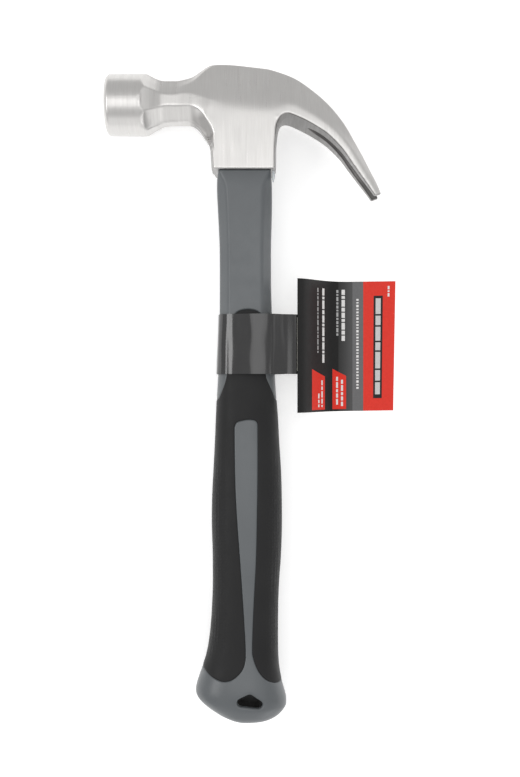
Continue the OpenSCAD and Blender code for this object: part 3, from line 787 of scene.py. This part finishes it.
def hole_outline():
    """Rounded triangle round three circles of radius 2.3."""
    pts = []
    c = HOLE
    for i in range(3):
        p, a, b = np.array(c[i]), np.array(c[i - 1]), np.array(c[(i + 1) % 3])
        # clockwise order: left, top, right
        def nrm(u, v):
            d = (v - u) / np.linalg.norm(v - u)
            return math.atan2(d[0], -d[1])
        t0, t1 = nrm(a, p), nrm(p, b)
        while t1 > t0:
            t1 -= 2 * math.pi
        while t0 - t1 > 2 * math.pi:
            t1 += 2 * math.pi
        for k in range(13):
            t = t0 + (t1 - t0) * k / 12
            pts.append((p[0] + 2.3 * math.cos(t), p[1] + 2.3 * math.sin(t)))
    return pts


def make_handle():
    step = 0.5
    curves = []
    for base in (TOP, LOW):
        dense = resample(crom(np.array(base), 12), 0.3)
        t = trim(to_aq(dense))
        curves.append(resample(t, step))
    # the hole, as a closed loop in the flattened surface
    ho = np.array([(a, q) for a, q, _ in to_aq(resample(hole_outline(), 0.25, True))])
    hole = resample(ho, 0.42, True)
    if np.sum(hole[:, 0] * np.roll(hole[:, 1], -1) - np.roll(hole[:, 0], -1) * hole[:, 1]) < 0:
        hole = hole[::-1]
    pts, edges = [], []

    def add_line(p, closed=False):
        s = len(pts)
        pts.extend([tuple(map(float, x)) for x in p])
        n = len(p)
        edges.extend([(s + i, s + i + 1) for i in range(n - 1)])
        if closed:
            edges.append((s + n - 1, s))

    for c in curves:
        add_line(c)
    add_line(hole, True)
    allc = np.vstack(curves + [hole])

    def scale_at(q):
        return np.interp(116 - q, (116 - QS), HALF) / HW

    def offset(c, d, closed=False):
        g = np.vstack([c[-1:], c, c[:1]]) if closed else np.vstack([c[:1], c, c[-1:]])
        s = scale_at(c[:, 1])
        t = g[2:] - g[:-2]
        t = t * np.stack([s, np.ones_like(s)], 1)
        t /= np.maximum(np.linalg.norm(t, axis=1, keepdims=True), 1e-9)
        nn = np.stack([-t[:, 1] / s, t[:, 0]], 1)
        return c + nn * d

    # distance in real mm from a flattened point to the drawn lines
    def near(p, c):
        s = scale_at(p[:, 1])
        d = np.full(len(p), 1e9)
        for i in range(0, len(c), 400):
            cc = c[i:i + 400]
            dd = ((p[:, None, 0] - cc[None, :, 0]) * s[:, None]) ** 2 + (p[:, None, 1] - cc[None, :, 1]) ** 2
            d = np.minimum(d, dd.min(1))
        return np.sqrt(d)

    extra = []
    for c, closed in ((curves[0], False), (curves[1], False), (hole, True)):
        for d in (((0.16, 0.36, 0.62, 0.95))):
            for sg in ((1, -1) if not closed else (-1,)):
                o = offset(c, d * sg, closed)
                ok = (o[:, 0] > 0.15) & (o[:, 0] < HW - 0.15)
                o = o[ok]
                o = o[near(o, allc) > d * 0.86]
                extra.append(o)
    extra = np.vstack(extra)
    # the open grid
    sa = 0.62
    ga = np.linspace(0, HW, int(HW / sa) + 1)
    gq = [116.0]
    while gq[-1] > -186:
        q = gq[-1]
        gq.append(q - (0.7 if q > 104 or q < -140 else 1.4))
    gq = np.array(gq); gq = 116 - (116 - gq) * (302 / (116 - gq[-1]))
    A, Q = np.meshgrid(ga, gq, indexing="ij")
    grid = np.stack([A.ravel(), Q.ravel()], 1)
    inner = (grid[:, 0] > 1e-6) & (grid[:, 0] < HW - 1e-6) & (grid[:, 1] < 116 - 1e-6) & (grid[:, 1] > -186 + 1e-6)
    rim = grid[~inner]
    ends = np.array([c[k] for c in curves for k in (0, -1)])
    keep = np.ones(len(rim), bool)
    for e in ends:
        keep &= ~((np.abs(rim[:, 0] - e[0]) < 0.3) & (np.abs(rim[:, 1] - e[1]) < 0.45))
    rim = rim[keep]
    g = grid[inner]
    g = g[near(g, allc) > 1.25]
    # frame of the flattened sheet
    def side(a0):
        r = rim[np.abs(rim[:, 0] - a0) < 1e-6]
        e = ends[np.abs(ends[:, 0] - a0) < 1e-6]
        r = np.vstack([r, e]) if len(e) else r
        return r[np.argsort(-r[:, 1])]
    base = len(pts)
    pts.extend([tuple(x) for x in extra] + [tuple(x) for x in g])
    for a0 in (0.0, HW):
        add_line(side(a0))
    for q0 in (116.0, -186.0):
        r = rim[(np.abs(rim[:, 1] - q0) < 1e-6)]
        add_line(r[np.argsort(r[:, 0])])
    out = geometry.delaunay_2d_cdt([Vector(p) for p in pts], edges, [], 0, 1e-5, False)
    vv = np.array([(p.x, p.y) for p in out[0]])
    tri = np.array([f for f in out[2] if len(f) == 3])
    vv[:, 0] = np.where(vv[:, 0] < 1e-4, 0, np.where(vv[:, 0] > HW - 1e-4, HW, vv[:, 0]))
    # sort the triangles: hole, soft skin, jacket
    cen = vv[tri].mean(1)
    in_hole = sd_poly(cen[:, 0], cen[:, 1], hole) < 0
    region = np.vstack([curves[0], curves[1]])
    soft = (sd_poly(cen[:, 0], cen[:, 1], region) < 0) & ~in_hole & (cen[:, 1] > -156)
    area = np.cross(vv[tri[:, 1]] - vv[tri[:, 0]], vv[tri[:, 2]] - vv[tri[:, 0]])
    ok = (np.abs(area) > 1e-7) & ~in_hole
    P = surf(vv[:, 0], vv[:, 1])
    Nn = surf_normal(vv[:, 0], vv[:, 1])
    seam = np.vstack([surf(c[:, 0], c[:, 1]) for c in [resample(c, 0.2) for c in curves]])
    kd = KDTree(len(seam))
    for i, p in enumerate(seam):
        kd.insert(p, i)
    kd.balance()
    ds = np.array([kd.find(p)[2] for p in P])
    hp = surf(*resample(hole, 0.15, True).T)
    kh = KDTree(len(hp))
    for i, p in enumerate(hp):
        kh.insert(p, i)
    kh.balance()
    dh = np.array([kh.find(p)[2] for p in P])

    def build(name, top_f, low_f, mat, top_d, low_d, wall_hole, cap):
        """Closed solid: outer faces top_f, inner faces low_f, and walls between where they part."""
        V, F = [], []
        wall_faces = []
        lay = {}

        def outward(a, b, c):
            return (vv[b, 0] - vv[a, 0]) * (vv[c, 1] - vv[a, 1]) < (vv[c, 0] - vv[a, 0]) * (vv[b, 1] - vv[a, 1])

        def vid(layer, i, mirror):
            z0 = vv[i, 0] < 1e-6 or vv[i, 0] > HW - 1e-6
            key = (layer, i, 0 if z0 else mirror)
            if key not in lay:
                lay[key] = len(V)
                p = P[i] + Nn[i] * (top_d[i] if layer == 0 else low_d[i])
                if z0:
                    p = np.array([p[0], p[1], 0.0])
                V.append((p[0], p[1], -p[2] if mirror and not z0 else p[2]))
            return lay[key]

        def emit(tris, layer, flip):
            for t in tris:
                a, b, c = t
                order = (a, b, c) if outward(a, b, c) != flip else (a, c, b)
                F.append([vid(layer, k, 0) for k in order])
                F.append([vid(layer, k, 1) for k in reversed(order)])
        emit(top_f, 0, False)
        emit(low_f[0], 1, low_f[1])
        # boundary edges of the outer sheet, with the direction that its faces give them
        seen = {}
        for t in top_f:
            a, b, c = t
            if not outward(a, b, c):
                a, b, c = a, c, b
            for e in ((a, b), (b, c), (c, a)):
                seen[e] = 1
        for (a, b) in list(seen):
            if (b, a) in seen:
                continue
            if (vv[a, 0] < 1e-6 and vv[b, 0] < 1e-6) or (vv[a, 0] > HW - 1e-6 and vv[b, 0] > HW - 1e-6):
                continue                      # a flank: joined to the back half
            ends_ = (abs(vv[a, 1] - 116) < 1e-6 and abs(vv[b, 1] - 116) < 1e-6) or \
                    (abs(vv[a, 1] + 186) < 1e-6 and abs(vv[b, 1] + 186) < 1e-6)
            if ends_:
                continue
            at_hole = dh[a] < 0.15 and dh[b] < 0.15
            if at_hole:
                if not wall_hole:
                    continue
                n = 14
                prev = (vid(0, a, 0), vid(0, b, 0))
                za, zb = V[prev[0]], V[prev[1]]
                for k in range(1, n + 1):
                    if k == n:
                        cur = (vid(0, a, 1), vid(0, b, 1))
                    else:
                        cur = []
                        for key, pz in ((a, za), (b, zb)):
                            kk = ("h", key, k)
                            if kk not in lay:
                                lay[kk] = len(V)
                                V.append((pz[0], pz[1], pz[2] * (1 - 2 * k / n)))
                            cur.append(lay[kk])
                    F.append([prev[1], prev[0], cur[0], cur[1]])
                    if 1 < k < n:
                        wall_faces.append(len(F) - 1)
                    prev = cur
                continue
            for m in (0, 1):
                q4 = [vid(0, b, m), vid(0, a, m), vid(1, a, m), vid(1, b, m)]
                F.append(q4 if m == 0 else q4[::-1])
        if cap:
            for q0, flip in ((116.0, False), (-186.0, True)):
                ring = [i for i in range(len(vv)) if abs(vv[i, 1] - q0) < 1e-6]
                ring.sort(key=lambda i: vv[i, 0])
                f = [vid(0, i, 0) for i in ring] + [vid(0, i, 1) for i in reversed(ring[1:-1])]
                c = len(V)
                cp = np.mean([V[i] for i in f], axis=0)
                V.append(tuple(cp))
                for i in range(len(f)):
                    e = [f[i], f[(i + 1) % len(f)], c]
                    F.append(e if flip else e[::-1])
        V = np.array(V) + np.array([AX, 0, ZC])
        mi = np.zeros(len(F), int)
        # the hang hole's inner wall gets the near-black painted shade
        mi[wall_faces] = 1
        return mesh_object(name, V, F, [mat, M_HOLE_SHADE] if wall_faces else [mat], mi)

    s_tri, j_tri = tri[ok & soft], tri[ok & ~soft]
    t = np.minimum(ds / 0.95, 1)
    soft_d = -0.32 + 0.44 * np.sqrt(1 - (1 - t) ** 2)
    jack_d = -0.32 * np.exp(-(ds / 0.33) ** 2)
    lip = 1.15
    jack_d = jack_d - np.where(dh < lip, lip - np.sqrt(np.maximum(lip ** 2 - (lip - dh) ** 2, 0)), 0)
    floor_d = np.full(len(P), -2.2)
    grip = build("grip_skin", s_tri, (s_tri, True), M_SOFT, soft_d, floor_d, False, False)
    # the jacket runs on under the skin, in its recess
    jack = build("handle_body", j_tri, (s_tri, False), M_GREY, jack_d, floor_d - 0.02, True, True)
    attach(grip, "hammer"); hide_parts("grip")
    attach(jack, "hammer"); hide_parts("handle_jacket")
    return jack, grip


# ------------------------------------------------------------------ strap and card
S_LOW, S_W = 10.4, 31.0


def strip_solid(name, mid, ys, half, mats, wob=None, rows=None):
    """A film that follows a line of (x, z) points for each y, with thickness 2*half."""
    m, n = len(ys), len(mid(ys[0]))
    top, low = [], []
    for y in ys:
        c = np.array(mid(y))
        d = np.gradient(c, axis=0); d /= np.linalg.norm(d, axis=1, keepdims=True)
        nn = np.stack([-d[:, 1], d[:, 0]], 1)
        hh = half if np.isscalar(half) else np.asarray(half)[:, None]
        if wob is not None:
            c = c + nn * wob(np.arange(n) / (n - 1), y)[:, None]
        a, b = c + nn * hh, c - nn * hh
        top.append(np.stack([a[:, 0], np.full(n, y), a[:, 1]], 1))
        low.append(np.stack([b[:, 0], np.full(n, y), b[:, 1]], 1))
    V = np.concatenate([np.array(top).reshape(-1, 3), np.array(low).reshape(-1, 3)])
    T = lambda j, i: j * n + i
    B = lambda j, i: m * n + j * n + i
    F = []
    for j in range(m - 1):
        for i in range(n - 1):
            F.append([T(j, i), T(j, i + 1), T(j + 1, i + 1), T(j + 1, i)])
            F.append([B(j, i), B(j + 1, i), B(j + 1, i + 1), B(j, i + 1)])
    for j in range(m - 1):
        F.append([T(j, 0), T(j + 1, 0), B(j + 1, 0), B(j, 0)])
        F.append([T(j, n - 1), B(j, n - 1), B(j + 1, n - 1), T(j + 1, n - 1)])
    for i in range(n - 1):
        F.append([T(0, i), B(0, i), B(0, i + 1), T(0, i + 1)])
        F.append([T(m - 1, i), T(m - 1, i + 1), B(m - 1, i + 1), B(m - 1, i)])
    o = mesh_object(name, V + np.array([AX, 0, 0]), F, mats)
    o.data.set_sharp_from_angle(angle=math.radians(50))
    return o


def make_strap():
    n = 11.0

    def loop(y):
        k = (S_LOW + S_W - y) / S_W                       # 0 at the upper end, 1 at the lower end
        w, wr, t = 13.9 + 1.2 * k, 14 + 1.7 * k, n + 0.4 + 1.0 * k
        w, wr, t = w + 0.24, wr + 0.24, t + 0.24
        c = [(20.6, 9.22), (18.7, 10.1 + 0.1 * k), (16.3, 11.6 + 0.4 * k), (13.8, 13.0 + 0.7 * k), (10.0, 13.75 + 0.9 * k),
             (6.0, 14.0 + k), (2.6, 13.7 + k), (-1.9, 12.65 + k), (-6.4, 11.55 + k), (-8.4, 10.8 + k), (-10.4 - 0.4 * k, 9.95 + k),
             (-12.3 - 0.8 * k, 8.3 + 0.8 * k), (-0.955 * w, t * 0.53), (-w, t * 0.22), (-w, -t * 0.22),
             (-w + 0.15, -t * 0.5), (-0.86 * w, -t * 0.76), (-0.64 * w, -t + 0.1), (-5, -t), (0, -t), (5, -t), (8.7, -t + 0.1),
             (wr - 1.2, -t * 0.74), (wr + 1.0, -t * 0.3), (wr + 2.9, 1.0), (20.4, 7.9)]
        c = crom(np.array(c), 10)
        return resample(c, 0.45)

    def fixed(y, cnt=230):
        p = loop(y)
        s = np.linspace(0, len(p) - 1, cnt)
        return np.stack([np.interp(s, np.arange(len(p)), p[:, 0]), np.interp(s, np.arange(len(p)), p[:, 1]) + ZC], 1)

    ys = np.linspace(S_LOW, S_LOW + S_W, 36)
    wob = lambda u, y: 0.05 * np.sin(u * 31 + y * 0.11) * np.sin((y - S_LOW) * 0.17 + u * 5) + \
        0.025 * np.sin(u * 60 + 1.7 - y * 0.23)
    o = strip_solid("strap_band", fixed, ys, 0.2, [M_FILM], wob)
    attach(o, "strap"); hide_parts("strap_loop")
    # the tail, two films deep, from the closure to under the card
    line, _ = card_line()
    d = np.gradient(line, axis=0); d /= np.linalg.norm(d, axis=1, keepdims=True)
    under = (line + np.stack([d[:, 1], -d[:, 0]], 1) * 0.86)[0:34:6]
    cm = crom(np.vstack([[(20.4, 25.05), (21.6, 24.78), (23.2, 24.35), (24.6, 23.92), (25.6, 23.5)], under]), 8)
    o = strip_solid("strap_end", lambda y: cm, np.linspace(S_LOW, S_LOW + S_W, 20), 0.42, [M_FILM])
    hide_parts("strap_tail")
    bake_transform(o)


CARD_LOW, CARD_H, CARD_T = -10.2, 70.0, 0.5
CARD_X0, CARD_X1 = 26.9, 80.7


def card_line(n=120):
    b = lambda a, c, d, e, t: a * (1 - t) ** 3 + 3 * c * t * (1 - t) ** 2 + 3 * d * t * t * (1 - t) + e * t ** 3
    t = np.linspace(0, 1, n)
    p = np.stack([b(26.9, 35, 41, 56, t), b(23.7, 20.5, 0.25, 0.25, t)], 1)
    tail = np.stack([np.linspace(56, CARD_X1, 40)[1:], np.full(39, 0.25)], 1)
    p = np.vstack([p, tail])
    s = np.concatenate([[0], np.cumsum(np.linalg.norm(np.diff(p, axis=0), axis=1))])
    return p, s


def make_card():
    line, s = card_line()
    W = s[-1]
    # where the printed bands change, as x on the table from the handle axis
    def s_of_x(x):
        return float(np.interp(x, line[:, 0], s))

    def fade(nt):
        tc = node(nt, "ShaderNodeTexCoord")
        sp = node(nt, "ShaderNodeSeparateXYZ")
        nt.links.new(tc.outputs["Object"], sp.inputs[0])
        return remap(nt, sp.outputs[0], 0.0, 1.0, (49.5 + AX) * MM, (57.4 + AX) * MM)

    INK = [printed("card_black", (0.0105, 0.0105, 0.0105)),
           printed("card_dark", (0.030, 0.030, 0.030), (0.080, 0.080, 0.081), axis_fade=fade),
           printed("card_grey", (0.135, 0.135, 0.138)),
           printed("card_red", (0.70, 0.030, 0.016)),
           printed("card_white", (0.74, 0.73, 0.72)),
           printed("card_board", (0.62, 0.60, 0.57), rough=0.6),
           printed("card_back", (0.80, 0.79, 0.77), rough=0.55),
           printed("card_small_print", (0.40, 0.40, 0.40)),
           printed("card_silver", (0.56, 0.555, 0.55))]
    CUT = [s_of_x(49.6), s_of_x(57.4), s_of_x(63.2)]
    shapes = []          # (ink, polygon in (s, y)), later ones on top

    def rect(ink, s0, s1, y0, y1):
        shapes.append((ink, [(s0, y0), (s1, y0), (s1, y1), (s0, y1)]))

    yt = CARD_LOW + CARD_H
    e = 0.06
    rect(0, -0.01, CUT[0], CARD_LOW + e, yt - e)
    rect(1, CUT[0], CUT[1], CARD_LOW + e, yt - e)
    rect(2, CUT[1], CUT[2], CARD_LOW + e, yt - e)
    rect(3, CUT[2], W - e, CARD_LOW + e, yt - e)
    # two slanted red flags at the foot of the black panel
    for xa, xb, ya, yb in ((46.2, 53.9, 8.9, 12.8), (34.6, 41.9, 8.7, 12.6)):
        sa, sb = s_of_x(xa), s_of_x(xb)
        shapes.append((3, [(sa, CARD_LOW + 1.2), (sb, CARD_LOW + 1.2), (sb, ya), (sa, yb)]))
    # a plain emblem on the red panel: a dark bar with a row of light blocks of uneven length
    ex0, ex1 = s_of_x(68.9), s_of_x(73.9)
    shapes.append((0, [(ex0, -3.4), (ex1, -3.4), (ex1, 52.0), (ex0, 52.0)]))
    y = 50.6
    for k, ln in enumerate((9.4, 6.0, 8.4, 5.2, 9.8, 6.6, 7.4)):
        rect(8, ex0 + 1.1, ex1 - 1.1, y - ln + 0.9, y)
        y -= ln

    # rows of plain short bars where a card carries its small print
    def bars(sc, half, y_top, y_low, lens, gap, ink=4):
        y = y_top
        i = 0
        while y > y_low + 0.8:
            ln = lens[i % len(lens)]
            rect(ink, sc - half, sc + half, max(y - ln, y_low), y)
            y -= ln + gap
            i += 1
    bars(s_of_x(60.1), 0.62, 50.4, 1.0, (1.0, 0.7, 1.3, 0.8), 0.75)
    bars(s_of_x(52.3), 0.95, 55.4, 26.6, (2.8, 1.5, 3.6, 2.1), 0.6)
    bars(s_of_x(49.0), 0.62, 55.2, 30.4, (1.6, 0.9, 2.3, 1.2), 0.6, 7)
    bars(s_of_x(41.0), 0.90, 55.6, 16.0, (3.8, 1.4, 4.6, 2.2), 0.6)
    bars(s_of_x(37.9), 0.50, 55.6, 19.9, (2.2, 1.0, 1.7, 2.9), 0.6, 7)
    bars(s_of_x(77.0), 0.5, 57.2, 51.4, (1.8, 0.9), 0.6)
    for k in range(2):
        bars(s_of_x(51.9) - 1.5 * k * 2 - 0.3, 0.60, 6.8 + 1.6 * k, -7.4, (2.2, 3.1, 1.6), 0.7)
        bars(s_of_x(40.2) - 1.45 * k * 2 + 0.1, 0.60, 6.6 - 7.0 * k, -7.6, (2.6, 1.8, 3.3), 0.7)

    pts, edges = [], []
    for _, poly in shapes:
        b = len(pts)
        pts.extend(poly)
        edges.extend([(b + i, b + (i + 1) % len(poly)) for i in range(len(poly))])
    b = len(pts)
    pts.extend([(0, CARD_LOW), (W, CARD_LOW), (W, yt), (0, yt)])
    edges.extend([(b + i, b + (i + 1) % 4) for i in range(4)])
    for a in np.arange(0, W, 1.0):                      # fine enough to follow the bend
        b = len(pts)
        pts.extend([(float(a) + 0.013, CARD_LOW), (float(a) + 0.013, yt)])
        edges.append((b, b + 1))
    for yy in np.arange(CARD_LOW + 5, yt, 5.0):
        b = len(pts)
        pts.extend([(0, float(yy) + 0.017), (W, float(yy) + 0.017)])
        edges.append((b, b + 1))
    out = geometry.delaunay_2d_cdt([Vector(p) for p in pts], edges, [], 0, 1e-5, False)
    vv = np.array([(p.x, p.y) for p in out[0]])
    tri = [list(f) for f in out[2]]
    cen = np.array([vv[f].mean(0) for f in tri])
    ink = np.full(len(tri), 5)
    for k, poly in shapes:
        p = np.array(poly)
        ink[sd_poly(cen[:, 0], cen[:, 1], p) < 0] = k
    lx = np.interp(vv[:, 0], s, line[:, 0]); lz = np.interp(vv[:, 0], s, line[:, 1])
    d = np.gradient(line, axis=0); d /= np.linalg.norm(d, axis=1, keepdims=True)
    nx = np.interp(vv[:, 0], s, -d[:, 1]); nz = np.interp(vv[:, 0], s, d[:, 0])
    hh = CARD_T / 2
    top = np.stack([lx + nx * hh, vv[:, 1], lz + nz * hh], 1)
    low = np.stack([lx - nx * hh, vv[:, 1], np.maximum(lz - nz * hh, 0.0)], 1)
    V = np.vstack([top, low]) + np.array([AX, 0, 0])
    # the card hangs a hair askew, its free edge a little higher
    V[:, 1] += 0.4 + 0.8 * np.tile(vv[:, 0] / W, 2)
    # and its free edge is cut a little out of square
    V[:, 0] -= 1.25 * np.tile((yt - vv[:, 1]) / CARD_H * np.clip((vv[:, 0] - CUT[2]) / (W - CUT[2]), 0, 1), 2)
    nv = len(vv)
    F, MI = [], []
    seen = set()
    for f, k in zip(tri, ink):
        a = vv[f]
        if (a[1][0] - a[0][0]) * (a[2][1] - a[0][1]) - (a[2][0] - a[0][0]) * (a[1][1] - a[0][1]) < 0:
            f = f[::-1]
        F.append(f); MI.append(k)
        F.append([i + nv for i in f[::-1]]); MI.append(6)
        for i in range(len(f)):
            seen.add((f[i], f[(i + 1) % len(f)]))
    for a, b2 in list(seen):
        if (b2, a) not in seen:
            F.append([b2, a, a + nv, b2 + nv]); MI.append(0 if max(vv[a, 0], vv[b2, 0]) < 0.05 else 5)
    o = mesh_object("printed_card", V, F, INK, MI)
    o.data.set_sharp_from_angle(angle=math.radians(40))
    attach(o, "card"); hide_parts("hang_card")
    return o


def make_bead():
    """A small uneven drop of squeezed-out resin at the socket's lower corner."""
    n, m = 28, 20
    V, F = [], []
    for j in range(m + 1):
        v = j / m
        ph = math.pi * v
        for i in range(n):
            th = 2 * math.pi * i / n
            r = 1.05 * (1 + 0.10 * math.sin(3 * th + 2 * ph) + 0.08 * math.cos(2 * th - 4 * ph))
            x = 14.15 + r * math.sin(ph) * math.cos(th) * (1.0 if math.cos(th) > 0 else 0.5)
            y = -3.35 + 3.2 * math.cos(ph) * (1 + 0.04 * math.sin(5 * th))
            z = 9.2 + r * math.sin(ph) * math.sin(th)
            V.append((x + AX, min(y, -0.02) + Y0, z + ZC))
    for j in range(m):
        for i in range(n):
            F.append([j * n + (i + 1) % n, (j + 1) * n + (i + 1) % n, (j + 1) * n + i, j * n + i])
    o = mesh_object("resin_drop", V, F, [M_BEAD])
    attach(o, "hammer"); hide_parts("resin_bead")


def dress(node_name, mat):
    o = frame["nodes"][node_name] if isinstance(frame["nodes"], dict) else bpy.data.objects[node_name]
    o = o if hasattr(o, "data") else bpy.data.objects[node_name]
    if not o.data.materials:
        o.data.materials.append(mat)
    for s in o.material_slots:
        s.material = mat


# ------------------------------------------------------------------ camera, floor, light
cam_d = bpy.data.cameras.new("camera")
cam_d.lens = 50.0
cam_d.sensor_width = 36.0
cam_d.sensor_fit = "AUTO"
cam_d.clip_start = 0.01
cam = bpy.data.objects.new("camera", cam_d)
cam.location = ((AX + 7.4) * MM, 0.0029, 0.584)
bpy.context.scene.collection.objects.link(cam)
bpy.context.scene.camera = cam

make_head()
make_handle()
make_strap()
make_card()
make_bead()
dress("eye_resin", M_RESIN)
dress("core_rod", M_FIBRE)
dress("card_adhesive", M_GLUE)

fm, fnt, fb = new_mat("pale_floor")
fnt.links.new(mixcol(fnt, noise(fnt, coords(fnt), 8.0), (0.86, 0.86, 0.86), (0.88, 0.88, 0.88)), fb.inputs["Base Color"])
fb.inputs["Roughness"].default_value = 0.9
fb.inputs["Specular IOR Level"].default_value = 0.1
fb.inputs["Emission Color"].default_value = (1, 1, 1, 1)
fb.inputs["Emission Strength"].default_value = 0.46
fl = mesh_object("floor", [(-2500, -2500, -0.3), (2500, -2500, -0.3), (2500, 2500, -0.3), (-2500, 2500, -0.3)], [[0, 1, 2, 3]], [fm], smooth=False)


def area(name, loc, size, power, aim=(0, 0, 0), col=(1, 1, 1), size_y=None):
    l = bpy.data.lights.new(name, "AREA")
    l.energy = power
    l.color = col
    l.shape = "RECTANGLE"
    l.size = size
    l.size_y = size_y or size
    o = bpy.data.objects.new(name, l)
    o.location = loc
    d = Vector(aim) - Vector(loc)
    o.rotation_euler = d.to_track_quat("-Z", "Y").to_euler()
    bpy.context.scene.collection.objects.link(o)
    return o


def softbox(name, loc, sx, sy, radiance, aim=(0, 0, 0)):
    area(name, loc, sx, radiance * math.pi * sx * sy, aim, size_y=sy)


softbox("overhead", (-0.03, 0.10, 1.25), 0.86, 0.78, 1.03, (-0.03, 0.1001, 0))
softbox("side_left", (-1.0, 0.1, 0.45), 1.1, 0.6, 0.04)
softbox("side_low", (0.0, -1.15, 0.42), 1.5, 0.75, 0.46)
softbox("side_right", (0.95, 0.44, 0.62), 0.7, 0.4, 0.42, (0, 0.15, 0))
softbox("corner_right", (0.75, -0.95, 0.25), 0.9, 0.45, 0.9, (0, 0.15, 0))
softbox("hot_spot", (-0.03, 0.17, 1.2), 0.5, 0.14, 0.22, (-0.03, 0.1701, 0))
softbox("strip_left", (-0.80, 0.05, 0.86), 0.9, 0.26, 3.6, (0, 0, 0))
softbox("strip_right", (0.62, -0.25, 1.08), 0.7, 0.13, 1.3, (0, -0.12, 0))

world = bpy.data.worlds.new("world")
bpy.context.scene.world = world
world.use_nodes = True
wn = world.node_tree
bg = wn.nodes.get("Background") or wn.nodes.new("ShaderNodeBackground")
bg.inputs["Color"].default_value = (1, 1, 1, 1)
bg.inputs["Strength"].default_value = 0.64
wo = wn.nodes.get("World Output") or wn.nodes.new("ShaderNodeOutputWorld")
wn.links.new(bg.outputs[0], wo.inputs[0])

bpy.context.scene.view_settings.view_transform = "Standard"
bpy.context.scene.view_settings.look = "None"

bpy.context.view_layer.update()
